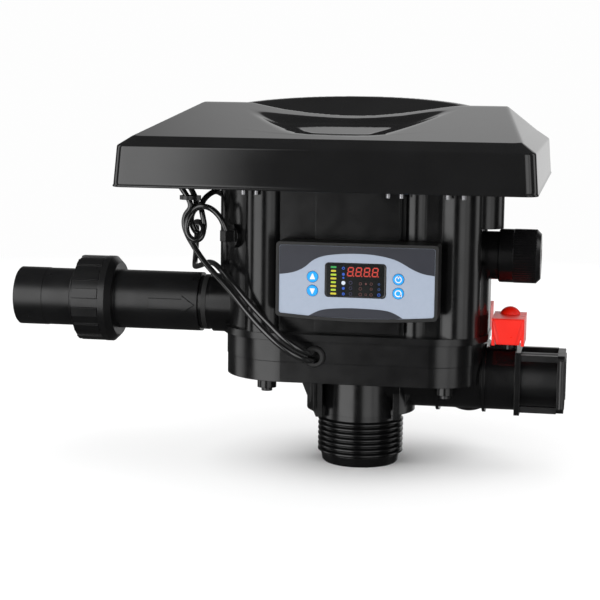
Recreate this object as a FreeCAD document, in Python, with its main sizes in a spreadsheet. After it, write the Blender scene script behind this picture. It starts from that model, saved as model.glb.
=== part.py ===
import FreeCAD, Part
import math
import os
import re
import Sketcher
from FreeCAD import Placement, Rotation, Vector

# Motorised multiport valve for a filter or softener tank.
# Origin: on the tank thread's axis at its lower end. +Z up, the display faces -Y.
# Lengths in millimetres, angles in degrees.

os.makedirs("parts", exist_ok=True)
doc = FreeCAD.newDocument("MultiportValve")
sheet = doc.addObject("Spreadsheet::Sheet", "Sizes")

sizes = [
    # neck and tank thread
    ("threadRadius", 36.3), ("threadRoot", 33.6), ("threadPitch", 4.4), ("threadTurns", 7),
    ("threadStart", 8), ("threadEndRadius", 32.4), ("threadEndChamfer", 1.6), ("crestFlat", 1.2),
    ("neckRadius", 32.5), ("neckBore", 29), ("collarRadius", 46), ("collarWall", 7),
    ("collarBottom", 46), ("collarWindow", 36), ("ribWidth", 5), ("ribReach", 50),
    ("ribBottom", 40), ("ribOffset", 20),
    # riser insert
    ("riserRadius", 25.15), ("riserLength", 34), ("riserClear", 0.05), ("sealSection", 1.6),
    # lower casing
    ("casingLeft", -115.5), ("casingRight", 104), ("casingHalfDepth", 55), ("cornerRadius", 42),
    ("casingBottom", 74.5), ("splitHeight", 109.5), ("casingWall", 6), ("floorWall", 8),
    ("bossRadius", 8), ("bossDrop", 9), ("bossX", 76), ("bossY", 30), ("moldLine", 91.5),
    ("moldStep", 0.4),
    # rim flange and upper casing
    ("rimOverhang", 3), ("rimHeight", 6), ("upperLeft", -116), ("upperRight", 107),
    ("upperHalfDepth", 50), ("upperCorner", 40), ("upperTop", 234), ("shoulderHeight", 173),
    ("shoulderInset", 9), ("chamberRadius", 40), ("chamberFloor", 140), ("chamberMouth", 30),
    ("columnLeftX", -76), ("columnLeftY", 40), ("columnLeftRadius", 17),
    ("columnEndX", -105), ("columnEndY", 4), ("columnEndRadius", 17),
    ("columnMidX", 49.3), ("columnMidY", 40), ("columnMidRadius", 13),
    ("columnRightX", 81.6), ("columnRightY", 33), ("columnRightRadius", 20),
    ("columnRearX", 101), ("columnRearRadius", 16), ("columnRearBottom", 202),
    ("spineLeft", -31.9), ("spineRight", 36.8), ("spineFront", 57), ("spineBottom", 118),
    ("passageRadius", 9),
    # inlet side
    ("inletHeight", 131.6), ("inletStub", 25), ("inletBore", 19), ("stubEnd", -128),
    ("grooveRadius", 23), ("grooveEnd", -138.5), ("unionRadius", 25.2), ("unionEnd", -217),
    ("nutInner", -212), ("nutBandStart", -222.5), ("nutOuter", -246), ("nutRadius", 36.5),
    ("nutBandRadius", 36.9), ("nutBevel", 5), ("nutRibs", 14), ("nutRibHeight", 1.4),
    ("spigotEnd", -301.8), ("spigotStep", -276), ("spigotRadius", 25), ("spigotCollar", 26.4),
    ("spigotBore", 20.5), ("collarOuter", -251.5), ("unionThread", 31.5), ("arrowLength", 40),
    ("arrowWidth", 15), ("arrowRaise", 0.8),
    # outlet side
    ("outletHeight", 76), ("pipeRadius", 26.2), ("pipeBore", 20), ("finRadius", 28.8),
    ("finWidth", 2.6), ("finFirst", 65), ("finSecond", 103.5), ("flangeStart", 130.5),
    ("flangeWidth", 4.6), ("flangeHalf", 26.2), ("cageHalf", 24), ("cageBar", 5.2),
    ("cageEnd", 171), ("cageRim", 6), ("socketOuter", 22.6), ("socketRadius", 20.05),
    ("socketDepth", 26), ("ballX", 124.4), ("ballRadius", 18), ("ballBore", 10.5),
    ("seatWidth", 3), ("stemRadius", 3.2), ("glandRadius", 6.5), ("glandRise", 3),
    ("handleHalf", 13.2), ("handleBottom", 32.5), ("handleTop", 55), ("domeTop", 61),
    ("handleWall", 2.6), ("leverReach", 33), ("leverTail", 10.5), ("domeRadius", 8.5),
    ("lugLength", 12), ("lugHeight", 6),
    # drain side
    ("drainX", 91), ("drainHeight", 72), ("drainRadius", 24), ("drainHandleY", 70),
    ("drainEnd", 96), ("drainBody", 25), ("drainBodyEnd", 80),
    # flow control knob
    ("knobHeight", 179.4), ("knobNeckRadius", 20), ("knobNeckEnd", 113.8), ("knobRingRadius", 22.2),
    ("knobRingEnd", 126), ("knobCapEnd", 148.3), ("knobCapRadius", 22.4), ("knobBevel", 3.6),
    ("knobBore", 13), ("knurlCount", 60), ("knurlDepth", 0.7), ("plungerRadius", 6),
    # deck
    ("deckLeft", -126), ("deckRight", 112), ("deckHalfDepth", 65), ("deckHeight", 7),
    ("deckCorner", 30), ("tongueLeft", -166), ("tongueHalf", 17), ("tongueY", -18),
    ("screwRadius", 2.2), ("screwHead", 4.6), ("screwHeadHeight", 3), ("screwTip", 229),
    ("screwY", 60),
    # discs, stem and drive
    ("discRadius", 38), ("discHeight", 6), ("discSealHeight", 2), ("discGap", 0.05),
    ("discPort", 9), ("discPortRing", 22), ("forkHeight", 9), ("forkRadius", 30),
    ("stemShaft", 8), ("stemTop", 261), ("shaftClear", 0.05), ("bushRadius", 14),
    ("bushFlange", 19), ("bushFlangeHeight", 3), ("gearModule", 1.5), ("gearTeeth", 60),
    ("pinionTeeth", 15), ("gearBottom", 249), ("gearHeight", 8), ("pinionAngle", 60),
    ("motorRadius", 19), ("motorBottom", 262), ("motorHeight", 20), ("bracketHeight", 2.5),
    ("earOffset", 22), ("earRadius", 5), ("magnetRadius", 3), ("magnetHeight", 3),
    ("magnetRing", 30), ("sensorBottom", 263.5), ("boardHeight", 1.6),
    # cover
    ("coverLeft", -174.7), ("coverRight", 149.6), ("coverHalfDepth", 156), ("coverBottom", 239.5),
    ("skirtTop", 271.3), ("skirtDraft", 2.3), ("bandTop", 278.3), ("bandInset", 12.5),
    ("ridgeHeight", 302.6), ("ridgeLeft", -138), ("ridgeRight", 117.5), ("ridgeHalf", 4),
    ("coverCorner", 9), ("coverWall", 3), ("dishX", -9), ("dishY", -30), ("dishRadius", 97),
    ("dishDepth", 15), ("dishTilt", 8.1), ("dishHeight", 293.9), ("crownWall", 3.2),
    ("crownFlare", 30), ("crownHeight", 26), ("crestRadius", 165), ("crestWidth", 3),
    ("crestFront", -47), ("postLeft", -104), ("postRight", 92), ("postY", 40),
    ("postRadius", 5),
    # display panel
    ("panelLeft", -59.2), ("panelRight", 71.2), ("panelBottom", 134), ("panelTop", 194.2),
    ("panelBow", 2.8), ("panelFront", 82), ("panelBack", 57), ("panelWall", 2.5),
    ("panelRound", 3), ("labelInset", 2.6), ("labelHeight", 0.5), ("windowLeft", -19.6),
    ("windowRight", 30), ("windowBottom", 150.5), ("windowTop", 178.4), ("windowRound", 3),
    ("windowDepth", 1.6), ("keyRadius", 4.4), ("keyClear", 0.3), ("keyRaise", 0.6),
    ("keyLeftX", -29.4), ("keyRightX", 39.7), ("keyUpperZ", 166.4), ("keyLowerZ", 155.2),
    ("keyLength", 8), ("boardBack", 66),
    # leads
    ("leadDiameter", 4.8), ("grommetX", -31.5), ("grommetZ", 97), ("grommetRadius", 8.7),
    ("grommetRaise", 3.6), ("grommetBore", 5.6), ("grommetSpacing", 2.7), ("glandX", -103.5),
    ("glandY", -33), ("glandZ", 192.5), ("sideGlandRadius", 10), ("sideGlandRaise", 3.5),
    ("glandBlock", 9), ("tieWidth", 3.4), ("tieWall", 1.1),
]
for row, (alias, value) in enumerate(sizes, start=1):
    sheet.set("A%d" % row, alias)
    sheet.set("B%d" % row, str(value))
    sheet.setAlias("B%d" % row, alias)
doc.recompute()

names = {alias for alias, value in sizes}
nodes = {}


def expr(text):
    # points each size's name at its cell
    return re.sub(r"[A-Za-z]\w*", lambda word: "Sizes." + word[0] if word[0] in names else word[0],
                  str(text))


def size(text):
    # the value of an expression, for shapes that code makes
    return float(sheet.evalExpression(expr(text)))


def bind(item, **values):
    for name, text in values.items():
        item.setExpression(name, expr(text))


def place(item, at=("0", "0", "0"), turn=None):
    # turn is an axis and an angle
    if turn:
        item.Placement = Placement(Vector(), Rotation(Vector(*turn[0]), turn[1]))
    for name, text in zip("xyz", at):
        item.setExpression(".Placement.Base." + name, expr(text))
    return item


turns = {"Z": None, "X": ((0, 1, 0), 90), "-X": ((0, 1, 0), -90),
         "Y": ((1, 0, 0), -90), "-Y": ((1, 0, 0), 90)}


def rod(radius, length, at=("0", "0", "0"), along="Z"):
    item = doc.addObject("Part::Cylinder", "Rod")
    bind(item, Radius=radius, Height=length)
    return place(item, at, turns[along])


def cone(radius1, radius2, length, at=("0", "0", "0"), along="Z"):
    item = doc.addObject("Part::Cone", "Taper")
    bind(item, Radius1=radius1, Radius2=radius2, Height=length)
    return place(item, at, turns[along])


def block(x0, x1, y0, y1, z0, z1):
    item = doc.addObject("Part::Box", "Block")
    bind(item, Length="(%s) - (%s)" % (x1, x0), Width="(%s) - (%s)" % (y1, y0),
         Height="(%s) - (%s)" % (z1, z0))
    return place(item, (x0, y0, z0))


def ball(radius, at):
    item = doc.addObject("Part::Sphere", "Ball")
    bind(item, Radius=radius)
    return place(item, at)


def ring(radius, section, at, along="Z"):
    item = doc.addObject("Part::Torus", "Ring")
    bind(item, Radius1=radius, Radius2=section)
    return place(item, at, turns[along])


def fuse(*items):
    if len(items) == 1:
        return items[0]
    item = doc.addObject("Part::MultiFuse", "Fuse")
    item.Shapes = list(items)
    item.Refine = True
    return item


def cut(base, *tools):
    item = doc.addObject("Part::Cut", "Cut")
    item.Base = base
    item.Tool = fuse(*tools)
    item.Refine = True
    return item


def common(base, tool):
    item = doc.addObject("Part::Common", "Common")
    item.Base = base
    item.Tool = tool
    return item


def shaped(shape, at=("0", "0", "0")):
    item = doc.addObject("Part::Feature", "Shaped")
    item.Shape = shape
    return place(item, at)


def turned(profile, at=("0", "0", "0"), along="Z"):
    # a body turned about its own axis; profile is a loop of (radius, height) pairs
    body = doc.addObject("PartDesign::Body", "Turned")
    plane = next(f for f in body.Origin.OriginFeatures if f.Role == "XZ_Plane")
    sketch = body.newObject("Sketcher::SketchObject", "Profile")
    sketch.AttachmentSupport = [(plane, "")]
    sketch.MapMode = "FlatFace"
    points = [(size(radius), size(height)) for radius, height in profile]
    for index, start in enumerate(points):
        end = points[(index + 1) % len(points)]
        sketch.addGeometry(Part.LineSegment(Vector(*start, 0), Vector(*end, 0)), False)
    for index in range(len(points)):
        sketch.addConstraint(Sketcher.Constraint(
            "Coincident", index, 2, (index + 1) % len(points), 1))
    for index, (texts, point) in enumerate(zip(profile, points)):
        for kind, axis, text, value in (("DistanceX", -2, texts[0], point[0]),
                                        ("DistanceY", -1, texts[1], point[1])):
            if abs(value) < 1e-9:
                sketch.addConstraint(Sketcher.Constraint("PointOnObject", index, 1, axis))
                continue
            number = sketch.addConstraint(Sketcher.Constraint(kind, -1, 1, index, 1, value))
            sketch.setExpression("Constraints[%d]" % number, expr(text))
    turn = body.newObject("PartDesign::Revolution", "Turn")
    turn.Profile = sketch
    turn.ReferenceAxis = (sketch, ["V_Axis"])
    turn.Angle = 360
    sketch.Visibility = False
    return place(body, at, turns[along])


def tube(outer, inner, length, at=("0", "0", "0"), along="Z"):
    return turned([(inner, "0"), (outer, "0"), (outer, length), (inner, length)], at, along)


def node(label, item):
    item.Label = label
    nodes[label] = item
    return item



def wire(points, closed=True):
    points = [Vector(*point) for point in points]
    return Part.makePolygon(points + points[:1] if closed else points)


def prism(points, direction):
    # a flat outline pushed along a direction
    return Part.Face(wire(points)).extrude(Vector(*direction))


def rounded_plate(x0, x1, y0, y1, z0, z1, radius):
    # four corner rods and two blocks
    x0, x1, y0, y1, z0, z1, radius = ("(%s)" % text for text in (x0, x1, y0, y1, z0, z1, radius))
    parts = [block(x0, x1, y0 + "+" + radius, y1 + "-" + radius, z0, z1),
             block(x0 + "+" + radius, x1 + "-" + radius, y0, y1, z0, z1)]
    for x in (x0 + "+" + radius, x1 + "-" + radius):
        for y in (y0 + "+" + radius, y1 + "-" + radius):
            parts.append(rod(radius, z1 + "-" + z0, (x, y, z0)))
    return fuse(*parts)


def casing_slab(left, right, half, corner, z0, z1):
    # a slab with a half-round left end and rounded right corners
    left, right, half, corner, z0, z1 = ("(%s)" % t for t in (left, right, half, corner, z0, z1))
    middle = left + "+" + half
    turn = right + "-" + corner
    rise = z1 + "-" + z0
    side = half + "-" + corner
    return fuse(
        rod(half, rise, (middle, "0", z0)),
        block(middle, turn, "-" + half, half, z0, z1),
        block(turn, right, "-(%s)" % side, side, z0, z1),
        rod(corner, rise, (turn, side, z0)),
        rod(corner, rise, (turn, "-(%s)" % side, z0)))


# ---- lower casing: neck, tank thread, outlet and drain pipes

def thread_profile():
    # neck bore, then the crests from the top down, then the chamfered end
    profile = [("neckBore", "0"), ("threadEndRadius - threadEndChamfer", "0"),
               ("threadEndRadius", "threadEndChamfer"), ("threadRoot", "threadStart")]
    for turn in range(int(size("threadTurns"))):
        foot = "threadStart + threadPitch * %d" % turn
        profile += [("threadRoot", foot + " + 0.4"),
                    ("threadRadius", foot + " + threadPitch / 2 - crestFlat / 2 + 0.2"),
                    ("threadRadius", foot + " + threadPitch / 2 + crestFlat / 2 + 0.2"),
                    ("threadRoot", foot + " + threadPitch")]
    top = "threadStart + threadPitch * (threadTurns + 1)"
    profile += [("threadRoot", top), ("neckRadius + 1", top), ("neckRadius", "casingBottom"),
                ("neckRadius", "splitHeight - 2"), ("neckBore", "splitHeight - 2")]
    return profile


def lower_casing():
    shell = casing_slab("casingLeft", "casingRight", "casingHalfDepth", "cornerRadius",
                        "moldLine", "splitHeight")
    foot = casing_slab("casingLeft + moldStep", "casingRight - moldStep",
                       "casingHalfDepth - moldStep", "cornerRadius - moldStep",
                       "casingBottom", "moldLine")
    hollow = casing_slab("casingLeft + casingWall", "casingRight - casingWall",
                         "casingHalfDepth - casingWall", "cornerRadius - casingWall",
                         "casingBottom + floorWall", "splitHeight")
    collar = cut(rod("collarRadius", "casingBottom - collarBottom + 1", ("0", "0", "collarBottom")),
                 rod("collarRadius - collarWall", "casingBottom", ("0", "0", "collarBottom - 1")),
                 block("-collarWindow", "collarWindow", "-collarRadius - 1", "-ribOffset",
                       "collarBottom - 1", "casingBottom + 2"))
    neck = turned(thread_profile())
    ribs = []
    for side in (-1, 1):
        for row in (-1, 1):
            outline = [(side * size(x), 0, size(z)) for x, z in
                       (("neckBore + 1", "casingBottom + 1"), ("ribReach", "casingBottom + 1"),
                        ("threadRadius - 1", "ribBottom"), ("neckBore + 1", "ribBottom"))]
            rib = prism(outline, (0, size("ribWidth"), 0))
            ribs.append(shaped(rib, ("0", "%d * ribOffset - ribWidth / 2" % row, "0")))
    bosses = [rod("bossRadius", "bossDrop + floorWall", (x, y, "casingBottom - bossDrop"))
              for x in ("-bossX", "bossX - 2") for y in ("-bossY", "bossY")]
    pins = [rod("screwRadius", "bossDrop + floorWall - 1", (x, y, "casingBottom - bossDrop - 1"))
            for x in ("-bossX", "bossX - 2") for y in ("-bossY", "bossY")]
    outlet = rod("pipeRadius", "flangeStart", ("0", "0", "outletHeight"), "X")
    fins = [rod("finRadius", "finWidth", (x, "0", "outletHeight"), "X")
            for x in ("finFirst", "finSecond")]
    flange = block("flangeStart", "flangeStart + flangeWidth", "-flangeHalf", "flangeHalf",
                   "outletHeight - flangeHalf", "outletHeight + flangeHalf")
    gland = rod("glandRadius", "glandRise + 6", ("ballX", "0", "outletHeight + pipeRadius - 6"))
    lug = block("upperRight + 1.5", "upperRight + 1.5 + lugLength", "-lugHeight", "lugHeight",
                "outletHeight + pipeRadius - 3", "outletHeight + pipeRadius + 3")
    drain = turned([("0", "0"), ("drainBody", "0"), ("drainBody", "drainBodyEnd"),
                    ("drainRadius", "drainBodyEnd"), ("drainRadius", "drainEnd"),
                    ("0", "drainEnd")], ("drainX", "0", "drainHeight"), "Y")
    drain_gland = rod("glandRadius", "glandRise + 6",
                      ("drainX", "drainHandleY", "drainHeight + drainRadius - 6"))
    solid = fuse(shell, foot)
    solid = cut(solid, hollow)
    solid = fuse(solid, neck, collar, outlet, flange, gland, lug, drain, drain_gland,
                 *(ribs + bosses + fins))
    riser_space = rod("neckBore", "splitHeight", ("0", "0", "-1"))
    outlet_space = rod("pipeBore", "flangeStart + flangeWidth - finFirst + 1",
                       ("finFirst", "0", "outletHeight"), "X")
    outlet_duct = rod("pipeBore", "finFirst - neckBore - 5", ("neckBore + 6", "0", "outletHeight"),
                      "X")
    stem_way = rod("stemRadius + shaftClear", "pipeRadius",
                   ("ballX", "0", "outletHeight + pipeBore - 8"))
    drain_space = rod("pipeBore", "drainEnd", ("drainX", "cornerRadius / 2", "drainHeight"), "Y")
    drain_way = rod("stemRadius + shaftClear", "drainRadius",
                    ("drainX", "drainHandleY", "drainHeight + pipeBore - 8"))
    stub_space = rod("inletStub + 0.3", "columnLeftX - stubEnd", ("stubEnd", "0", "inletHeight"),
                     "X")
    lead_way = rod("grommetBore", "casingWall + 4",
                   ("grommetX", "-casingHalfDepth - 2", "grommetZ"), "Y")
    return cut(solid, riser_space, outlet_space, outlet_duct, stem_way, drain_space, drain_way,
               stub_space, lead_way, *pins)


node("lower_casing", lower_casing())

# riser insert with its two seals, pressed into the neck
insert = turned([("riserRadius", "0"), ("neckBore", "0"),
                 ("neckBore", "riserLength * 0.55"), ("neckBore - sealSection", "riserLength * 0.55"),
                 ("neckBore - sealSection", "riserLength * 0.7"), ("neckBore", "riserLength * 0.7"),
                 ("neckBore", "riserLength"), ("riserRadius", "riserLength")])
node("riser_insert", insert)
node("riser_seal", ring("neckBore - sealSection / 2", "sealSection / 2",
                        ("0", "0", "riserLength * 0.625")))

# casing joint screws in the four lower bosses
screws = []
for x in ("-bossX", "bossX - 2"):
    for y in ("-bossY", "bossY"):
        head = "casingBottom - bossDrop - screwHeadHeight"
        screws.append(fuse(rod("screwHead", "screwHeadHeight", (x, y, head)),
                           rod("screwRadius - 0.1", "bossDrop + floorWall - 3",
                               (x, y, head + " + screwHeadHeight"))))
screw_set = doc.addObject("Part::Compound", "ScrewSet")
screw_set.Links = screws
node("boss_screws", screw_set)


# ---- upper casing: rim flange, columns, disc chamber, inlet stub and knob neck

def upper_casing():
    rim = casing_slab("casingLeft - rimOverhang", "casingRight + rimOverhang + 0.7",
                      "casingHalfDepth + rimOverhang", "cornerRadius + rimOverhang",
                      "splitHeight", "splitHeight + rimHeight")
    low = casing_slab("upperLeft", "upperRight", "upperHalfDepth", "upperCorner",
                      "splitHeight + rimHeight", "shoulderHeight")
    high = casing_slab("upperLeft", "upperRight - shoulderInset", "upperHalfDepth",
                       "upperCorner - shoulderInset", "shoulderHeight", "upperTop")
    solids = [rim, low, high]
    foot, rise = "splitHeight + rimHeight", "upperTop - splitHeight - rimHeight"
    for x, y, radius in (("columnLeftX", "columnLeftY", "columnLeftRadius"),
                         ("columnEndX", "columnEndY", "columnEndRadius"),
                         ("columnMidX", "columnMidY", "columnMidRadius"),
                         ("columnRightX", "columnRightY", "columnRightRadius")):
        for side in ("-", ""):
            solids.append(rod(radius, rise, (x, side + y, foot)))
    solids.append(rod("columnRearRadius", "upperTop - columnRearBottom",
                      ("columnRearX", "0", "columnRearBottom")))
    solids.append(block("spineLeft", "spineRight", "-spineFront", "spineFront", "spineBottom",
                        "upperTop"))
    solids.append(rod("inletStub", "columnLeftX - stubEnd", ("stubEnd", "0", "inletHeight"), "X"))
    solids.append(rod("grooveRadius", "stubEnd - grooveEnd", ("grooveEnd", "0", "inletHeight"),
                      "X"))
    solids.append(rod("knobNeckRadius", "knobNeckEnd - columnRightX",
                      ("columnRightX", "0", "knobHeight"), "X"))
    solid = fuse(*solids)
    chamber = rod("chamberRadius", "upperTop - chamberFloor + 1", ("0", "0", "chamberFloor"))
    mouth = rod("chamberMouth", "chamberFloor - splitHeight + 2", ("0", "0", "splitHeight - 1"))
    inlet = rod("inletBore", "-grooveEnd", ("grooveEnd - 1", "0", "inletHeight"), "X")
    knob = rod("knobBore", "knobNeckEnd + 1 - chamberRadius + 4",
               ("chamberRadius - 4", "0", "knobHeight"), "X")
    passages = []
    for x, y in (("columnLeftX", "columnLeftY"), ("columnMidX", "columnMidY"),
                 ("columnRightX", "columnRightY")):
        for side in ("-", ""):
            passages.append(rod("passageRadius", "upperTop - splitHeight - 12",
                                (x, side + y, "splitHeight - 1")))
    groove = cut(rod("chamberRadius + 5", "1.4", ("0", "0", "upperTop - 1.4")),
                 rod("chamberRadius + 2", "4", ("0", "0", "upperTop - 2")))
    return cut(solid, chamber, mouth, inlet, knob, groove, *passages)


node("upper_casing", upper_casing())
node("lid_seal", tube("chamberRadius + 4.9", "chamberRadius + 2.1", "1.3",
                      ("0", "0", "upperTop - 1.35")))

# ---- inlet union: body, nut, spigot and seal, on the inlet axis

def on_inlet(profile, end):
    # a turned piece whose height runs along +X from end
    return turned(profile, (end, "0", "inletHeight"), "X")


body_length = "grooveEnd - nutInner"
union = on_inlet([("inletBore", "0"), ("unionThread", "0"), ("unionThread", "nutInner - unionEnd"),
                  ("unionRadius", "nutInner - unionEnd"),
                  ("unionRadius", "grooveEnd - unionEnd"), ("inletBore", "grooveEnd - unionEnd")],
                 "unionEnd")
arrow_half = size("arrowWidth") / 2
arrow_head = arrow_half * 1.5
arrow_points = [(0, 0, -arrow_half * 0.62), (size("arrowLength") - arrow_head, 0, -arrow_half * 0.62),
                (size("arrowLength") - arrow_head, 0, -arrow_half), (size("arrowLength"), 0, 0),
                (size("arrowLength") - arrow_head, 0, arrow_half),
                (size("arrowLength") - arrow_head, 0, arrow_half * 0.62),
                (0, 0, arrow_half * 0.62)]
arrow_blank = shaped(prism(arrow_points, (0, -size("unionRadius + 5"), 0)),
                     ("grooveEnd - arrowLength - 2", "0", "inletHeight"))
arrow_skin = rod("unionRadius + arrowRaise", body_length, ("nutInner", "0", "inletHeight"), "X")
arrow = cut(common(arrow_blank, arrow_skin),
            rod("unionRadius - 1", body_length, ("nutInner", "0", "inletHeight"), "X"))
node("union_body", fuse(union, arrow))


def union_nut():
    # ribbed barrel, then a band with a bevelled open end
    length = "(nutInner - nutOuter)"
    nut = on_inlet([("spigotCollar - 0.6", "0"), ("nutRadius - nutRibHeight", "0"),
                    ("nutRadius - nutRibHeight", "nutBandStart - nutOuter"),
                    ("nutBandRadius", "nutBandStart - nutOuter"),
                    ("nutBandRadius", length + " - nutBevel"),
                    ("nutBandRadius - nutBevel", length), ("unionThread + 0.3", length),
                    ("unionThread + 0.3", "4"), ("spigotCollar - 0.6", "4")], "nutOuter")
    ribs = []
    rib_width = math.pi * size("nutRadius") / size("nutRibs")
    for index in range(int(size("nutRibs"))):
        rib = Part.makeBox(size("nutBandStart - nutOuter - 1"), rib_width, size("nutRibHeight") + 1,
                           Vector(0, -rib_width / 2, size("nutRadius - nutRibHeight - 1")))
        rib.rotate(Vector(), Vector(1, 0, 0), 360 * index / size("nutRibs"))
        ribs.append(shaped(rib, ("nutOuter + 0.5", "0", "inletHeight")))
    return fuse(nut, *ribs)


node("union_nut", union_nut())
spigot = on_inlet([("spigotBore", "0"), ("spigotRadius - 1", "0"), ("spigotRadius", "1"),
                   ("spigotRadius", "spigotStep - spigotEnd"),
                   ("spigotRadius - 0.3", "spigotStep - spigotEnd"),
                   ("spigotRadius - 0.3", "collarOuter - spigotEnd"),
                   ("spigotRadius + 0.5", "collarOuter - spigotEnd + 1"),
                   ("spigotRadius + 0.5", "nutOuter + 4.4 - spigotEnd"),
                   ("unionThread - 0.6", "nutOuter + 4.4 - spigotEnd"),
                   ("unionThread - 0.6", "unionEnd - 2 - spigotEnd"),
                   ("spigotBore", "unionEnd - 2 - spigotEnd")], "spigotEnd")
node("inlet_spigot", spigot)
node("union_seal", tube("unionThread - 1", "spigotBore + 3", "1.9",
                        ("unionEnd - 1.95", "0", "inletHeight"), "X"))
node("stub_seal", tube("grooveRadius + 0.6", "grooveRadius", "4",
                       ("grooveEnd + 3", "0", "inletHeight"), "X"))

# ---- outlet end: caged socket, ball, seats and lever

def outlet_cage():
    start, face = "flangeStart + flangeWidth", "cageEnd - cageRim"
    low, high = "outletHeight - cageHalf", "outletHeight + cageHalf"
    solids = [rod("socketOuter", "cageEnd - (%s)" % start, (start, "0", "outletHeight"), "X")]
    for y in ("-cageHalf", "cageHalf - cageBar"):
        for z in (low, high + " - cageBar"):
            solids.append(block(start, face, y, y + " + cageBar", z, z + " + cageBar"))
    rim = cut(rounded_cage_rim(face), rod("socketOuter - 1", "cageRim + 2",
                                          (face + " - 1", "0", "outletHeight"), "X"))
    beads = [rod("cageRim / 2", "cageHalf * 2 - 8", ("cageEnd - cageRim / 2 + 0.6", y, low + " + 4"))
             for y in ("-cageHalf + 2.6", "cageHalf - 2.6")]
    bore = rod("socketRadius", "socketDepth + 1", ("cageEnd - socketDepth", "0", "outletHeight"),
               "X")
    duct = rod("ballBore + 5", "cageEnd", (start + " - 1", "0", "outletHeight"), "X")
    pocket = rod("pipeBore", "7.6", (start + " - 1", "0", "outletHeight"), "X")
    return cut(fuse(rim, *(solids + beads)), bore, duct, pocket)


def rounded_cage_rim(face):
    corner = "4"
    parts = [block(face, "cageEnd", "-cageHalf + " + corner, "cageHalf - " + corner,
                   "outletHeight - cageHalf", "outletHeight + cageHalf"),
             block(face, "cageEnd", "-cageHalf", "cageHalf",
                   "outletHeight - cageHalf + " + corner, "outletHeight + cageHalf - " + corner)]
    for y in ("-cageHalf + " + corner, "cageHalf - " + corner):
        for z in ("outletHeight - cageHalf + " + corner, "outletHeight + cageHalf - " + corner):
            parts.append(rod(corner, "cageRim", (face, y, z), "X"))
    return fuse(*parts)


node("outlet_socket", outlet_cage())


def valve_ball(x, y, z, along):
    # ball with a through bore, and its stem up to the lever
    at = (x, y, z)
    way = {"X": ("(%s) - ballRadius - 1" % x, y, z), "Y": (x, "(%s) - ballRadius - 1" % y, z)}[along]
    solid = cut(ball("ballRadius", at), rod("ballBore", "ballRadius * 2 + 2", way, along))
    return solid


def lever(x, y, z, angle):
    # U-shaped lever with a domed hub, a flared front plate and a stem
    half, wall = size("handleHalf"), size("handleWall")
    low, high = size("handleBottom"), size("handleTop")
    reach, tail = size("leverReach"), size("leverTail")
    top = Part.makeBox(2 * half, reach + tail, wall, Vector(-half, -reach, high - wall))
    wings = [Part.makeBox(wall, reach + tail - 3, high - low - wall / 2,
                          Vector(edge, -reach + 1, low)) for edge in (-half, half - wall)]
    front = prism([(-half + 1.6, -reach - 1.2, high - 0.6), (half - 1.6, -reach - 1.2, high - 0.6),
                   (half * 0.46, -reach - 1.2, low + 1.6), (-half * 0.46, -reach - 1.2, low + 1.6)],
                  (0, wall, 0))
    hub = Part.makeCylinder(size("domeRadius"), high - low - 2, Vector(0, 0, low + 1.5))
    dome_rise = size("domeTop") - high
    dome_ball = (size("domeRadius") ** 2 + dome_rise ** 2) / (2 * dome_rise)
    dome = Part.makeSphere(dome_ball, Vector(0, 0, size("domeTop") - dome_ball))
    dome = dome.common(Part.makeCylinder(size("domeRadius"), dome_rise + 2, Vector(0, 0, high - 2)))
    stem = Part.makeCylinder(size("stemRadius"), low + 2 - size("ballRadius") + 3,
                             Vector(0, 0, size("ballRadius") - 3))
    solid = top.multiFuse(wings + [front, hub, dome]).removeSplitter()
    solid.rotate(Vector(), Vector(0, 0, 1), angle)
    stem_item = shaped(stem, (x, y, z))
    return shaped(solid, (x, y, z)), stem_item


def seat_rings(x, y, z, along):
    # two sealing rings against the ball
    offset = "ballRadius * 0.72"
    profile = [("ballBore + 1.5", "0"), ("pipeBore - 0.1", "0"), ("pipeBore - 0.1", "seatWidth"),
               ("ballBore + 4", "seatWidth")]
    rings = doc.addObject("Part::Compound", "Seats")
    if along == "X":
        rings.Links = [turned(profile, ("(%s) - %s - seatWidth - 1.2" % (x, offset), y, z), "X"),
                       turned(profile, ("(%s) + %s + seatWidth + 1.2" % (x, offset), y, z), "-X")]
    else:
        rings.Links = [turned(profile, (x, "(%s) - %s - seatWidth - 1.2" % (y, offset), z), "Y"),
                       turned(profile, (x, "(%s) + %s + seatWidth + 1.2" % (y, offset), z), "-Y")]
    return rings


outlet_at = ("ballX", "0", "outletHeight")
drain_at = ("drainX", "drainHandleY", "drainHeight")
for name, at, along, angle in (("outlet", outlet_at, "X", 0), ("drain", drain_at, "Y", 180)):
    handle, stem = lever(*at, angle)
    node(name + "_handle", handle)
    node(name + "_ball", fuse(valve_ball(*at, along), stem))
    node(name + "_seats", seat_rings(*at, along))

# ---- flow control on the right: ring, knurled cap and plunger

knob_ring = turned([("knobBore", "0"), ("knobRingRadius - 1", "0"), ("knobRingRadius", "1"),
                    ("knobRingRadius", "knobRingEnd - knobNeckEnd"),
                    ("knobBore", "knobRingEnd - knobNeckEnd")],
                   ("knobNeckEnd", "0", "knobHeight"), "X")
node("knob_ring", knob_ring)
cap_length = "(knobCapEnd - knobRingEnd - 0.3)"
cap = turned([("plungerRadius", "0"), ("knobCapRadius", "0"),
              ("knobCapRadius", cap_length + " - knobBevel"),
              ("knobCapRadius - knobBevel", cap_length), ("plungerRadius", cap_length)],
             ("knobRingEnd + 0.3", "0", "knobHeight"), "X")
flutes = []
for index in range(int(size("knurlCount"))):
    flute = Part.makeCylinder(size("knurlDepth"), size(cap_length) + 2, Vector(-1, 0, size("knobCapRadius")),
                              Vector(1, 0, 0))
    flute.rotate(Vector(), Vector(1, 0, 0), 360 * index / size("knurlCount"))
    flutes.append(flute)
flute_set = shaped(Part.makeCompound(flutes), ("knobRingEnd + 0.3", "0", "knobHeight"))
node("knob_cap", cut(cap, flute_set))
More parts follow.
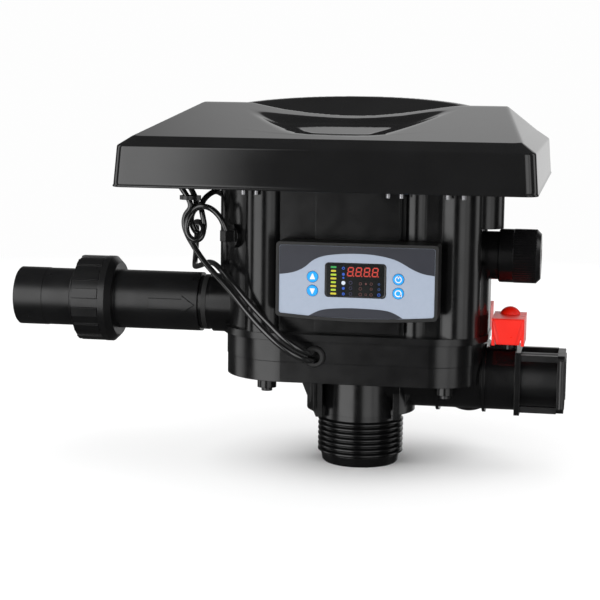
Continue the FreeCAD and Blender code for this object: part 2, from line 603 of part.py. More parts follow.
plunger = turned([("0", "0"), ("knobBore - 3", "0"), ("knobBore - 3", "12"),
                  ("plungerRadius", "12"), ("plungerRadius", "knobCapEnd - knobNeckEnd + 20 - 1.5"),
                  ("0", "knobCapEnd - knobNeckEnd + 20 - 1.5")],
                 ("knobNeckEnd - 20", "0", "knobHeight"), "X")
node("flow_plunger", plunger)

# ---- deck plate, its screws, and the discs inside the chamber

deck_top = "upperTop + deckHeight"


def deck_plate():
    plate = rounded_plate("deckLeft", "deckRight", "-deckHalfDepth", "deckHalfDepth", "upperTop",
                          deck_top, "deckCorner")
    tongue = rounded_plate("tongueLeft", "deckLeft + 40", "tongueY - tongueHalf",
                           "tongueY + tongueHalf", "upperTop", deck_top, "6")
    holes = [rod("bushRadius", "deckHeight + 2", ("0", "0", "upperTop - 1"))]
    holes += [rod("screwRadius", "deckHeight + 2", (x, y, "upperTop - 1"))
              for x, y in screw_places]
    holes += [rod("leadDiameter / 2 + 1.6", "deckHeight + 2", (x, y, "upperTop - 1"))
              for x, y in lead_exits]
    return cut(fuse(plate, tongue), *holes)


screw_places = [(str(x), side + "screwY") for x in (-91, -80.3, 27.6, 38.2, 75.4, 88)
                for side in ("-", "")]
lead_exits = [("-157", "-16"), ("-150", "-10")]
node("deck_plate", deck_plate())
screws = []
for x, y in screw_places:
    screws.append(fuse(rod("screwHead", "screwHeadHeight", (x, y, deck_top)),
                       rod("screwRadius - 0.1", "upperTop + deckHeight - screwTip",
                           (x, y, "screwTip"))))
screw_set = doc.addObject("Part::Compound", "ScrewSet")
screw_set.Links = screws
node("deck_screws", screw_set)
collars = [turned([("leadDiameter / 2 + 0.1", "0"), ("leadDiameter / 2 + 3", "0"),
                   ("leadDiameter / 2 + 3", "1"), ("leadDiameter / 2 + 1.5", "1"),
                   ("leadDiameter / 2 + 1.5", "deckHeight + 1"),
                   ("leadDiameter / 2 + 3", "deckHeight + 1"),
                   ("leadDiameter / 2 + 3", "deckHeight + 3"), ("0", "deckHeight + 3"),
                   ("0", "6"), ("leadDiameter / 2 + 0.1", "6")],
                  (x, y, "upperTop - 1")) for x, y in lead_exits]
bushing_set = doc.addObject("Part::Compound", "BushingSet")
bushing_set.Links = collars
node("lead_bushings", bushing_set)

disc_floor = "(chamberFloor + discSealHeight)"
disc_face = "(chamberFloor + discSealHeight + discHeight)"
ports = [(str(round(math.cos(math.radians(a)), 4)), str(round(math.sin(math.radians(a)), 4)))
         for a in (0, 60, 120, 180, 240, 300)]


def port_rods(base, length, count=6, step=1):
    return [rod("discPort", length, ("discPortRing * " + c, "discPortRing * " + s, base))
            for c, s in ports[:count * step:step]]


node("disc_seal", cut(rod("discRadius + 1.5", "discSealHeight", ("0", "0", "chamberFloor")),
                      *port_rods("chamberFloor - 1", "discSealHeight + 2")))
node("fixed_disc", cut(rod("discRadius + 1.5", "discHeight", ("0", "0", disc_floor)),
                       *port_rods(disc_floor + " - 1", "discHeight + 2")))
moving_base = disc_face + " + discGap"
node("moving_disc", cut(rod("discRadius", "discHeight", ("0", "0", moving_base)),
                        *port_rods(moving_base + " - 1", "discHeight + 2", 3, 2)))
fork_base = disc_face + " + discGap + discHeight"
fork_arms = [block("-forkRadius", "forkRadius", "-5", "5", fork_base, fork_base + " + 4"),
             block("-5", "5", "-forkRadius", "forkRadius", fork_base, fork_base + " + 4")]
stem = fuse(rod("stemShaft", "stemTop - (%s)" % fork_base, ("0", "0", fork_base)),
            rod("stemShaft + 5", "forkHeight", ("0", "0", fork_base)), *fork_arms)
node("drive_stem", stem)
bush = turned([("stemShaft + shaftClear", "0"), ("bushRadius", "0"),
               ("bushRadius", "deckHeight + 12"), ("bushFlange", "deckHeight + 12"),
               ("bushFlange", "deckHeight + 12 + bushFlangeHeight"),
               ("stemShaft + shaftClear", "deckHeight + 12 + bushFlangeHeight")],
              ("0", "0", deck_top + " - deckHeight - 12"))
node("stem_bush", bush)

# ---- gear drive: gear with magnets, pinion, motor, bracket and sensor board


def gear_outline(teeth, phase):
    # straight-flanked teeth with a little backlash at the pitch line
    module = size("gearModule")
    pitch = module * teeth / 2
    root, tip = pitch - 1.25 * module, pitch + 0.92 * module
    half = math.pi / teeth
    spots = ((root, -0.74), (pitch, -0.46), (tip, -0.2), (tip, 0.2), (pitch, 0.46), (root, 0.74))
    points = []
    for tooth in range(teeth):
        for radius, share in spots:
            angle = phase + 2 * half * tooth + share * half
            points.append((radius * math.cos(angle), radius * math.sin(angle), 0))
    return points


gear_teeth, pinion_teeth = int(size("gearTeeth")), int(size("pinionTeeth"))
line = math.radians(size("pinionAngle"))
reach = size("gearModule * (gearTeeth + pinionTeeth) / 2")
pinion_x, pinion_y = reach * math.cos(line), reach * math.sin(line)
gear_blank = prism(gear_outline(gear_teeth, line), (0, 0, size("gearHeight")))
gear_item = cut(shaped(gear_blank, ("0", "0", "gearBottom")),
                rod("stemShaft", "gearHeight + 2", ("0", "0", "gearBottom - 1")),
                *[rod("magnetRadius", "magnetHeight + 1",
                      ("magnetRing * " + c, "magnetRing * " + s,
                       "gearBottom + gearHeight - magnetHeight")) for c, s in ports[:4]])
node("drive_gear", gear_item)
magnet_set = doc.addObject("Part::Compound", "MagnetSet")
magnet_set.Links = [rod("magnetRadius", "magnetHeight",
                        ("magnetRing * " + c, "magnetRing * " + s,
                         "gearBottom + gearHeight - magnetHeight")) for c, s in ports[:4]]
node("position_magnets", magnet_set)
pinion_phase = line + math.pi + math.pi / pinion_teeth
pinion_blank = prism(gear_outline(pinion_teeth, pinion_phase), (0, 0, size("gearHeight")))
pinion_at = (str(round(pinion_x, 4)), str(round(pinion_y, 4)))
node("motor_pinion", fuse(shaped(pinion_blank, pinion_at + ("gearBottom",)),
                          rod("3", "motorBottom - gearBottom + 4", pinion_at + ("gearBottom",))))
ear_step = (-math.sin(line) * size("earOffset"), math.cos(line) * size("earOffset"))
ears = [(str(round(pinion_x + side * ear_step[0], 3)), str(round(pinion_y + side * ear_step[1], 3)))
        for side in (-1, 1)]
bracket_base = "motorBottom - bracketHeight"
bracket = [rod("motorRadius", "bracketHeight", pinion_at + (bracket_base,))]
bracket += [rod("earRadius", "motorBottom - (%s)" % deck_top, ear + (deck_top,)) for ear in ears]
node("motor_bracket", cut(fuse(*bracket), rod("4", "bracketHeight + 2",
                                              pinion_at + (bracket_base + " - 1",))))
motor = fuse(rod("motorRadius", "motorHeight", pinion_at + ("motorBottom",)),
             *[rod("earRadius", "2", ear + ("motorBottom",)) for ear in ears])
node("drive_motor", cut(motor, rod("3.05", "5", pinion_at + ("motorBottom - 0.5",))))
sensor = block("-64", "-16", "-34", "34", "sensorBottom", "sensorBottom + boardHeight")
posts = [rod("2.6", "sensorBottom - (%s)" % deck_top, ("-60", y, deck_top)) for y in ("-29", "29")]
node("sensor_board", sensor)
post_set = doc.addObject("Part::Compound", "PostSet")
post_set.Links = posts
node("board_posts", post_set)

# ---- cover: a skirt, a steep band and a low hipped roof with a scooped dish


def rounded_rectangle(x0, x1, y0, y1, z, radius):
    middle = radius * (1 - math.sqrt(0.5))
    corners = [((x1 - radius, y0), (x1 - middle, y0 + middle), (x1, y0 + radius)),
               ((x1, y1 - radius), (x1 - middle, y1 - middle), (x1 - radius, y1)),
               ((x0 + radius, y1), (x0 + middle, y1 - middle), (x0, y1 - radius)),
               ((x0, y0 + radius), (x0 + middle, y0 + middle), (x0 + radius, y0))]
    edges = []
    for index, (start, mid, end) in enumerate(corners):
        edges.append(Part.Arc(*(Vector(*spot, z) for spot in (start, mid, end))).toShape())
        following = corners[(index + 1) % 4][0]
        edges.append(Part.LineSegment(Vector(*end, z), Vector(*following, z)).toShape())
    return Part.Wire(edges)


def cover_block(shrink, floor):
    # the cover's outer solid, or its inner one when shrunk by the wall
    left, right, half = size("coverLeft") + shrink, size("coverRight") - shrink, \
        size("coverHalfDepth") - shrink
    draft, inset, corner = size("skirtDraft"), size("bandInset"), size("coverCorner")
    ridge_left, ridge_right = size("ridgeLeft") + shrink, size("ridgeRight") - shrink
    levels = [(left, right, half, floor, corner),
              (left + draft, right - draft, half - draft, size("skirtTop") - shrink * 0.4, corner),
              (left + inset, right - inset, half - inset, size("bandTop") - shrink, corner * 0.7),
              (ridge_left, ridge_right, size("ridgeHalf"), size("ridgeHeight") - shrink, 2.5)]
    wires = [rounded_rectangle(x0, x1, -y, y, z, r) for x0, x1, y, z, r in levels]
    solids = [Part.makeLoft([low, high], True, True) for low, high in zip(wires, wires[1:])]
    return solids[0].multiFuse(solids[1:]).removeSplitter()


def tilted(shape):
    # about the dish's centre, rising towards the back
    shape.rotate(Vector(), Vector(1, 0, 0), size("dishTilt"))
    shape.translate(Vector(size("dishX"), size("dishY"), size("dishHeight")))
    return shape


def dish_bowl(depth, radius):
    # a shallow round bowl sunk below the dish's rim plane
    sphere = (radius ** 2 + depth ** 2) / (2 * depth)
    return Part.makeSphere(sphere, Vector(0, 0, sphere - depth))


def top_cover():
    wall = size("coverWall")
    rim, depth = size("dishRadius"), size("dishDepth")
    crown_radius, flare = rim + size("crownWall"), size("crownFlare")
    crown = tilted(Part.makeCone(crown_radius + flare, crown_radius, size("crownHeight"),
                                 Vector(0, 0, -size("crownHeight"))))
    roof = Part.makeBox(500, 500, 60, Vector(-250, -250, size("bandTop")))
    outer = cover_block(0, size("coverBottom")).fuse(crown.common(roof)).removeSplitter()
    cap = Part.makeCylinder(rim + 14, 60, Vector(0, 0, -depth - 4))
    bowl = tilted(dish_bowl(depth, rim).common(cap))
    crest_y = size("crestFront") + size("crestRadius")
    crest = Part.makeCylinder(size("crestRadius") + size("crestWidth") / 2, 80,
                              Vector(size("dishX"), crest_y, 250))
    crest = crest.cut(Part.makeCylinder(size("crestRadius") - size("crestWidth") / 2, 80,
                                        Vector(size("dishX"), crest_y, 250)))
    solid = outer.cut(bowl.cut(crest))
    inner = cover_block(wall, size("coverBottom") - 1)
    under = tilted(dish_bowl(depth + wall, rim + wall).common(
        Part.makeCylinder(rim + 14, 60, Vector(0, 0, -depth - wall - 4))))
    posts = Part.makeCompound([Part.makeCylinder(size("postRadius"), 60,
                                                 Vector(x, y, size("upperTop + deckHeight")))
                               for x in (size("postLeft"), size("postRight"))
                               for y in (-size("postY"), size("postY"))]).common(solid)
    solid = solid.cut(inner.cut(under)).fuse(posts)
    lip = cover_block(-0.6, size("coverBottom")).common(
        Part.makeBox(500, 500, 1.6, Vector(-250, -250, size("coverBottom"))))
    lip = lip.cut(cover_block(wall - 0.2, size("coverBottom") - 1))
    return shaped(solid.fuse(lip).removeSplitter())


node("top_cover", top_cover())

# ---- display panel: housing, label, window, keys and board


def panel_outline(inset, y):
    # straight sides and top, and a bottom edge that bows down
    left, right = size("panelLeft") + inset, size("panelRight") - inset
    low, high = size("panelBottom") + inset, size("panelTop") - inset
    middle = Vector((left + right) / 2, y, low - size("panelBow"))
    corners = [Vector(left, y, low), Vector(right, y, low), Vector(right, y, high),
               Vector(left, y, high)]
    edges = [Part.Arc(corners[0], middle, corners[1]).toShape()]
    edges += [Part.LineSegment(start, end).toShape()
              for start, end in zip(corners[1:], corners[2:] + corners[:1])]
    return Part.Face(Part.Wire(edges))


def along_y(edge):
    start, end = (vertex.Point for vertex in edge.Vertexes[:2])
    return abs(start.x - end.x) + abs(start.z - end.z) < 1e-6


def softened(solid, radius):
    # rounds the edges that run front to back
    edges = [edge for edge in solid.Edges if len(edge.Vertexes) == 2 and along_y(edge)]
    return solid.makeFillet(radius, edges)


keys = {"key_up": ("keyLeftX", "keyUpperZ"), "key_down": ("keyLeftX", "keyLowerZ"),
        "key_menu": ("keyRightX", "keyUpperZ"), "key_enter": ("keyRightX", "keyLowerZ")}


def key_ways(front, depth):
    return [rod("keyRadius + keyClear", depth, (x, front, z), "Y") for x, z in keys.values()]


def window_way(front, depth):
    hole = Part.makeBox(size("windowRight - windowLeft"), depth, size("windowTop - windowBottom"),
                        Vector(size("windowLeft"), front, size("windowBottom")))
    return shaped(softened(hole, size("windowRound")))


def panel_housing():
    depth = size("panelFront - labelHeight - panelBack")
    front = -size("panelFront - labelHeight")
    outer = softened(panel_outline(0, front).extrude(Vector(0, depth, 0)), size("panelRound"))
    lip = softened(panel_outline(0, front - size("labelHeight") - 0.6).extrude(
        Vector(0, 4, 0)), size("panelRound"))
    tray = softened(panel_outline(size("labelInset"), front - 3).extrude(Vector(0, 3, 0)),
                    size("panelRound") - 1)
    inner = panel_outline(size("panelWall"), front + size("panelWall")).extrude(
        Vector(0, depth, 0))
    shell = shaped(outer.fuse(lip).cut(tray).cut(inner).removeSplitter())
    window = window_way(-size("panelFront") - 1, size("panelWall") + 3)
    return cut(shell, window, *key_ways("-panelFront - 1", "panelWall + 3"))


node("panel_housing", panel_housing())
label_blank = shaped(softened(panel_outline(size("labelInset + 0.05"), -size("panelFront")).extrude(
    Vector(0, size("labelHeight"), 0)), size("panelRound") - 1))
node("panel_label", cut(label_blank,
                        window_way(-size("panelFront") - 1, 3),
                        *key_ways("-panelFront - 1", "3")))
pane = Part.makeBox(size("windowRight - windowLeft") - 0.2, size("windowDepth"),
                    size("windowTop - windowBottom") - 0.2,
                    Vector(size("windowLeft") + 0.1, 0, size("windowBottom") + 0.1))
node("display_window", shaped(softened(pane, size("windowRound")), ("0", "-panelFront", "0")))
node("digit_module", block("windowLeft + 1", "windowRight - 1", "-panelFront + windowDepth + 0.1",
                           "-boardBack - boardHeight - 0.1", "windowBottom + 1", "windowTop - 1"))
node("display_board", block("panelLeft + 6", "panelRight - 6", "-boardBack - boardHeight",
                            "-boardBack", "panelBottom + 6", "panelTop - 6"))
pillars = doc.addObject("Part::Compound", "Pillars")
pillars.Links = [rod("2.4", "boardBack - panelBack", (x, "-boardBack", z), "Y")
                 for x in ("panelLeft + 10", "panelRight - 10")
                 for z in ("panelBottom + 10", "panelTop - 10")]
node("board_pillars", pillars)
for name, (x, z) in keys.items():
    key = turned([("0", "0"), ("keyRadius - 0.3", "0"), ("keyRadius", "0.3"),
                  ("keyRadius", "keyLength"), ("0", "keyLength")],
                 (x, "-panelFront - keyRaise", z), "Y")
    node(name, key)

# ---- leads: grommet, side gland, three leads, their tied hank and ties

grommet = turned([("0", "0"), ("grommetBore", "0"), ("grommetBore", "casingWall"),
                  ("grommetRadius", "casingWall"),
                  ("grommetRadius", "casingWall + grommetRaise - 1.2"),
                  ("grommetRadius - 1.2", "casingWall + grommetRaise"),
                  ("grommetBore - 0.5", "casingWall + grommetRaise"),
                  ("grommetBore - 0.5", "2"), ("0", "2")],
                 ("grommetX", "-casingHalfDepth + casingWall", "grommetZ"), "-Y")
node("lead_grommet", grommet)


def side_gland(side):
    # a round boss on the casing's left end, with a block that the lead enters from above
    centre = size("upperLeft + upperHalfDepth")
    direction = Vector(size("glandX") - centre, side * abs(size("glandY")), 0).normalize()
    start = Vector(centre, 0, size("glandZ")) + direction * (size("upperHalfDepth") - 1.5)
    boss = Part.makeCylinder(size("sideGlandRadius"), size("sideGlandRaise + 1.5"), start, direction)
    wide = size("glandBlock")
    housing = Part.makeBox(wide, wide, wide, Vector(-wide / 2, -wide / 2, -wide / 2))
    housing.rotate(Vector(), Vector(0, 0, 1), math.degrees(math.atan2(direction.y, direction.x)))
    housing.translate(start + direction * (size("sideGlandRaise + 1.5") + wide / 2 - 0.5))
    return boss.fuse(housing).removeSplitter(), start, direction


def gland_mouth(side):
    # where the lead enters the gland's block
    shape, start, direction = side_gland(side)
    spot = start + direction * size("sideGlandRaise + 1 + glandBlock / 2")
    return (spot.x, spot.y, spot.z + size("glandBlock / 2"))


glands = {"side_gland": -1, "rear_gland": 1}
for name, side in glands.items():
    skin = rod("upperHalfDepth", "60", ("upperLeft + upperHalfDepth", "0", "glandZ - 30"))
    node(name, cut(shaped(side_gland(side)[0]), skin))


def lead_path(route):
    # straight runs joined by tangent arcs, each as large as its runs allow
    points = [Vector(*point) for point in route]
    edges, radii, last = [], [], points[0]
    for before, corner, after in zip(points, points[1:], points[2:]):
        inward, outward = (corner - before), (after - corner)
        shorter = min(inward.Length, outward.Length)
        half_turn = inward.getAngle(outward) / 2
        reach = 0.45 * shorter
        radii.append(reach / math.tan(half_turn))
        way_in, way_out = Vector(inward).normalize(), Vector(outward).normalize()
        start, end = corner - way_in * reach, corner + way_out * reach
        bisector = (way_out - way_in).normalize()
        middle = corner + bisector * (radii[-1] / math.cos(half_turn) - radii[-1])
        edges += [Part.LineSegment(last, start).toShape(), Part.Arc(start, middle, end).toShape()]
        last = end
    edges.append(Part.LineSegment(last, points[-1]).toShape())
    return Part.Wire(edges), radii


def lead(name, route):
    path, radii = lead_path(route)
    radius = size("leadDiameter / 2")
    start = Vector(*route[0])
    section = Part.Wire(Part.makeCircle(radius, start, Vector(*route[1]) - start))
    solid = path.makePipeShell([section], True, False)
    share = solid.Volume / (math.pi * radius ** 2 * path.Length)
    print("%s: length %.0f mm, radii %s, volume over section times length %.3f"
          % (name, path.Length, [round(value) for value in radii], share))
    if abs(share - 1) > 0.01 or min(radii) < 3 * size("leadDiameter"):
        raise RuntimeError("lead route needs another look: " + name)
    return node(name, shaped(solid))


mouth_y = -size("casingHalfDepth") + size("casingWall") - 2
lower_mouth = (size("grommetX"), mouth_y, size("grommetZ - grommetSpacing"))
upper_mouth = (size("grommetX"), mouth_y, size("grommetZ + grommetSpacing"))
lead("display_lead", [
    lower_mouth, (-32, -63, 94.6), (-36.5, -72, 96.8), (-45, -77, 101.3), (-55.5, -77.8, 108),
    (-66.5, -75.5, 116.8), (-77.5, -71.5, 126), (-88, -66.5, 135.8), (-98, -60.5, 145.6),
    (-108, -53.5, 154), (-118, -46, 161.6), (-127, -38.5, 168.4), (-134.5, -31, 175),
    (-139.5, -24, 182.5)])
lead("power_lead", [
    upper_mouth, (-32.2, -61.6, 100), (-36.7, -69.5, 102.6), (-44.1, -74.5, 107.2),
    (-54.9, -74.4, 114.9), (-66, -70, 124.2), (-77, -65.6, 133.2), (-87.2, -61.3, 142.6),
    (-97, -55.4, 151.6), (-106.5, -47.4, 159), (-115, -36.8, 164.4), (-122.6, -24, 167.4),
    (-130, -10.5, 167.2), (-137.4, 3, 164.6), (-144.4, 15.4, 161), (-151, 27, 158.4),
    (-155.3, 37.6, 157.1), (-157.3, 47.6, 161.7), (-158, 53.7, 171), (-157.4, 53.9, 182.1),
    (-156, 48.1, 191.4), (-154, 38.2, 196.1), (-151.8, 27.2, 197), (-149.6, 16.2, 197.6),
    (-147.4, 5, 198.6), (-145.6, -7, 200)])
front_mouth, rear_mouth = gland_mouth(-1), gland_mouth(1)
lead("probe_lead", [
    front_mouth, (-112.5, -39.7, 204.2), (-116.9, -38.9, 210.3), (-122.7, -36.5, 214.6),
    (-129.1, -32.9, 216.4), (-135.5, -28, 215.5)])
lead("display_tail", [
    (-147.4, -19.6, 212), (-150.2, -19.2, 221), (-154.4, -17.8, 229), (-157, -16, 239)])
lead("power_tail", [
    (-143.4, -15, 213), (-145, -13.6, 221.6), (-148.2, -11.6, 230), (-150, -10, 239)])
lead("probe_tail", [
    (-139.4, -15.6, 213.4), (-135.3, -11.6, 220.9), (-131.2, -4.2, 225.5),
    (-128.4, 5.9, 226.5), (-125.4, 16.5, 222.6), (-120.4, 26.5, 218.2), (-114.7, 34, 212.6),
    (-111.4, 37.8, 205.5), rear_mouth])

# the tied hank that the three leads are gathered in
hank_at = ("-144.5", "-20", "191.5")
hank = fuse(rod("11.5", "17", hank_at), ball("11.5", hank_at),
            ball("11.5", (hank_at[0], hank_at[1], "208.5")))
node("lead_hank", hank)
tie = fuse(tube("6.5 + tieWall", "6.5", "tieWidth", ("-147.6", "-16.2", "220.4")),
           block("-141", "-137.4", "-18", "-14", "219.8", "224"),
           block("-139.8", "-138.4", "-17", "-15", "212", "220"))
node("lead_tie", tie)
doc.recompute()
failed = [item.Name for item in doc.Objects if "Invalid" in item.State or "Error" in item.State]
if failed:
    raise RuntimeError("failed objects: " + ", ".join(failed))
for label, item in nodes.items():
    shape = item.Shape
    if shape.isNull() or not shape.isValid() or not shape.Solids:
        raise RuntimeError("bad shape: " + label)
for label, item in nodes.items():
    item.Shape.exportStep("parts/%s.step" % label)
print(len(nodes), "nodes written")
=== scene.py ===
import math
import bmesh
import bpy
import numpy as np
from mathutils import Matrix, Vector


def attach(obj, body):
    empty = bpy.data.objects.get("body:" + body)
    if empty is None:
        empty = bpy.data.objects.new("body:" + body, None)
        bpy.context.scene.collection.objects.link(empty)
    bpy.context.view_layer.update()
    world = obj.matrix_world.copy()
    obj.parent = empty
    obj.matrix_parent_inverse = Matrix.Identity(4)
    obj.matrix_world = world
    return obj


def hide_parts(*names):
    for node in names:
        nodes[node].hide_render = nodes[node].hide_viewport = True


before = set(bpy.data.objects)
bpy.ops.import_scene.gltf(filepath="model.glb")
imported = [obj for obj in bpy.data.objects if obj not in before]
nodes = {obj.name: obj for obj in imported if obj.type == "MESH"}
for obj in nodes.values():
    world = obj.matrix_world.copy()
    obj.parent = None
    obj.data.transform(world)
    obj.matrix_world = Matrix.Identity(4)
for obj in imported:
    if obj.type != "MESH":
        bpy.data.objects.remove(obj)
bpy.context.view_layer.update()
mm = 0.001
print("frame loaded with", len(nodes), "nodes")

# camera

cameraSet = {"azimuth": 10.08, "elevation": 7.82, "roll": 0.70, "lens": 101.38,
             "place": (0.19558, -1.40362, 0.33159)}


def makeCamera(c):
    a, e, r = (math.radians(c[key]) for key in ("azimuth", "elevation", "roll"))
    back = Vector((math.sin(a) * math.cos(e), -math.cos(a) * math.cos(e), math.sin(e)))
    right = Vector((math.cos(a), math.sin(a), 0))
    up = back.cross(right)
    across = right * math.cos(r) + up * math.sin(r)
    above = up * math.cos(r) - right * math.sin(r)
    turn = Matrix((across, above, back)).transposed().to_4x4()
    data = bpy.data.cameras.new("studioCamera")
    data.lens = c["lens"]
    data.clip_end = 50
    camera = bpy.data.objects.new("studioCamera", data)
    camera.matrix_world = Matrix.Translation(c["place"]) @ turn
    bpy.context.scene.collection.objects.link(camera)
    bpy.context.scene.camera = camera


makeCamera(cameraSet)
print("camera placed")

# materials


def newSurface(name):
    surface = bpy.data.materials.new(name)
    surface.use_nodes = True
    tree = surface.node_tree
    tree.nodes.clear()
    output = tree.nodes.new("ShaderNodeOutputMaterial")
    shader = tree.nodes.new("ShaderNodeBsdfPrincipled")
    tree.links.new(shader.outputs[0], output.inputs[0])
    return surface, tree, shader


def addNode(tree, kind, **inputs):
    node = tree.nodes.new(kind)
    for key, value in inputs.items():
        slot = node.inputs[key] if isinstance(key, str) and key in node.inputs else None
        if isinstance(value, bpy.types.NodeSocket):
            tree.links.new(value, slot)
        else:
            slot.default_value = value
    return node


def noiseField(tree, coords, scale, detail=2.0, roughness=0.5):
    return addNode(tree, "ShaderNodeTexNoise", Vector=coords, Scale=scale, Detail=detail,
                   Roughness=roughness)


def spread(tree, value, low, high, start=0.3, end=0.7):
    ranged = tree.nodes.new("ShaderNodeMapRange")
    tree.links.new(value, ranged.inputs["Value"])
    for key, number in (("From Min", start), ("From Max", end), ("To Min", low), ("To Max", high)):
        ranged.inputs[key].default_value = number
    return ranged.outputs[0]


def mixColours(tree, share, first, second):
    mixed = tree.nodes.new("ShaderNodeMix")
    mixed.data_type = "RGBA"
    tree.links.new(share, mixed.inputs[0])
    mixed.inputs[6].default_value = (*first, 1)
    mixed.inputs[7].default_value = (*second, 1)
    return mixed.outputs[2]


def mouldedSurface(name, s):
    # tint drift, uneven gloss, a fine grain and softened edges
    surface, tree, shader = newSurface(name)
    coords = tree.nodes.new("ShaderNodeTexCoord").outputs["Object"]
    drift = noiseField(tree, coords, s.get("driftScale", 35), 3)
    tree.links.new(mixColours(tree, spread(tree, drift.outputs[0], 0, 1), s["tint"],
                              s.get("tintTwo", [c * 0.8 for c in s["tint"]])),
                   shader.inputs["Base Color"])
    patch = noiseField(tree, coords, s.get("patchScale", 60), 4)
    tree.links.new(spread(tree, patch.outputs[0], s["gloss"][0], s["gloss"][1]),
                   shader.inputs["Roughness"])
    grain = noiseField(tree, coords, s.get("grainScale", 1500), 3, 0.6)
    bump = addNode(tree, "ShaderNodeBump", Height=grain.outputs[0],
                   Strength=s.get("grainStrength", 0.25), Distance=s.get("grainDepth", 0.0001))
    if s.get("softEdge"):
        edge = addNode(tree, "ShaderNodeBevel", Radius=s["softEdge"])
        edge.samples = 4
        tree.links.new(edge.outputs[0], bump.inputs["Normal"])
    tree.links.new(bump.outputs[0], shader.inputs["Normal"])
    shader.inputs["Metallic"].default_value = s.get("metal", 0)
    shader.inputs["IOR"].default_value = s.get("ior", 1.5)
    shader.inputs["Coat Weight"].default_value = s.get("coat", 0)
    shader.inputs["Coat Roughness"].default_value = s.get("coatGloss", 0.05)
    return surface


def glowSurface(name, tint, strength):
    # a lit diode, uneven in tint over a dark body
    surface, tree, shader = newSurface(name)
    coords = tree.nodes.new("ShaderNodeTexCoord").outputs["Object"]
    patch = noiseField(tree, coords, 900, 2)
    tree.links.new(mixColours(tree, spread(tree, patch.outputs[0], 0, 1), tint,
                              [c * 0.8 for c in tint]), shader.inputs["Emission Color"])
    shader.inputs["Emission Strength"].default_value = strength
    shader.inputs["Base Color"].default_value = (0.02, 0.02, 0.02, 1)
    shader.inputs["Roughness"].default_value = 0.3
    return surface


finishes = {
    "casingBlack": {"tint": (0.0042, 0.0042, 0.0044), "tintTwo": (0.0028, 0.0028, 0.003),
                    "gloss": (0.17, 0.25), "ior": 1.45, "grainScale": 1300, "grainStrength": 0.12,
                    "grainDepth": 0.00012, "softEdge": 0.0007},
    "pipeBlack": {"tint": (0.0048, 0.0048, 0.005), "tintTwo": (0.003, 0.003, 0.0033),
                  "gloss": (0.27, 0.38), "grainScale": 1100, "grainStrength": 0.16,
                  "grainDepth": 0.00015, "softEdge": 0.0007},
    "coverBlack": {"tint": (0.008, 0.008, 0.0082), "gloss": (0.05, 0.08), "grainScale": 60,
                   "grainStrength": 0.02, "grainDepth": 0.00005},
    "panelBlack": {"tint": (0.008, 0.008, 0.008), "gloss": (0.38, 0.46), "grainScale": 1800,
                   "grainStrength": 0.25, "softEdge": 0.0006},
    "filmBlue": {"tint": (0.345, 0.395, 0.485), "tintTwo": (0.33, 0.38, 0.47), "gloss": (0.3, 0.36),
                 "grainScale": 2600, "grainStrength": 0.12, "driftScale": 300},
    "filmSlate": {"tint": (0.020, 0.022, 0.032), "tintTwo": (0.015, 0.017, 0.026),
                  "gloss": (0.34, 0.42), "grainScale": 2600, "grainStrength": 0.12,
                  "driftScale": 80},
    "windowBlack": {"tint": (0.007, 0.008, 0.008), "gloss": (0.16, 0.2), "grainScale": 200,
                    "grainStrength": 0.02},
    "bezelBlack": {"tint": (0.01, 0.01, 0.011), "gloss": (0.24, 0.3), "grainStrength": 0.05,
                   "softEdge": 0.0003},
    "keyBlue": {"tint": (0.005, 0.37, 0.95), "tintTwo": (0.005, 0.33, 0.88),
                "gloss": (0.3, 0.36), "grainScale": 1500, "grainStrength": 0.06,
                "softEdge": 0.0005},
    "printWhite": {"tint": (0.86, 0.88, 0.9), "gloss": (0.4, 0.45), "grainStrength": 0.05},
    "boardGreen": {"tint": (0.02, 0.12, 0.05), "tintTwo": (0.01, 0.09, 0.035),
                   "gloss": (0.3, 0.4), "grainScale": 400, "softEdge": 0.0003},
    "leverRed": {"tint": (0.82, 0.012, 0.003), "tintTwo": (0.76, 0.009, 0.002),
                 "gloss": (0.26, 0.34), "grainScale": 700, "grainStrength": 0.15,
                 "softEdge": 0.0009},
    "ballGrey": {"tint": (0.62, 0.62, 0.61), "gloss": (0.16, 0.22), "grainScale": 300,
                 "grainStrength": 0.04},
    "seatWhite": {"tint": (0.8, 0.8, 0.78), "gloss": (0.45, 0.5), "softEdge": 0.0003},
    "sealRubber": {"tint": (0.012, 0.012, 0.012), "gloss": (0.5, 0.6), "grainScale": 900,
                   "grainStrength": 0.2, "softEdge": 0.0003},
    "ceramic": {"tint": (0.78, 0.78, 0.75), "gloss": (0.12, 0.2), "grainScale": 500,
                "grainStrength": 0.04, "softEdge": 0.0003},
    "gearNylon": {"tint": (0.74, 0.72, 0.66), "gloss": (0.42, 0.5), "grainScale": 900,
                  "grainStrength": 0.15, "softEdge": 0.0002},
    "brassTurned": {"tint": (0.68, 0.5, 0.22), "gloss": (0.22, 0.32), "metal": 1,
                    "grainScale": 700, "softEdge": 0.0002},
    "screwSteel": {"tint": (0.3, 0.3, 0.31), "gloss": (0.24, 0.36), "metal": 1,
                   "grainScale": 900, "softEdge": 0.0005},
    "plateSteel": {"tint": (0.62, 0.62, 0.63), "gloss": (0.2, 0.32), "metal": 1,
                   "grainScale": 900, "softEdge": 0.0003},
    "motorCan": {"tint": (0.5, 0.51, 0.53), "gloss": (0.28, 0.38), "metal": 1,
                 "grainScale": 500, "softEdge": 0.0006},
    "sheathBlack": {"tint": (0.007, 0.007, 0.0075), "tintTwo": (0.011, 0.011, 0.011),
                    "gloss": (0.15, 0.22), "grainScale": 260, "grainStrength": 0.1,
                    "grainDepth": 0.0002, "coat": 0.6, "coatGloss": 0.08},
    "tieNylon": {"tint": (0.012, 0.012, 0.013), "gloss": (0.28, 0.36), "grainScale": 900,
                 "grainStrength": 0.1, "softEdge": 0.0002},
}
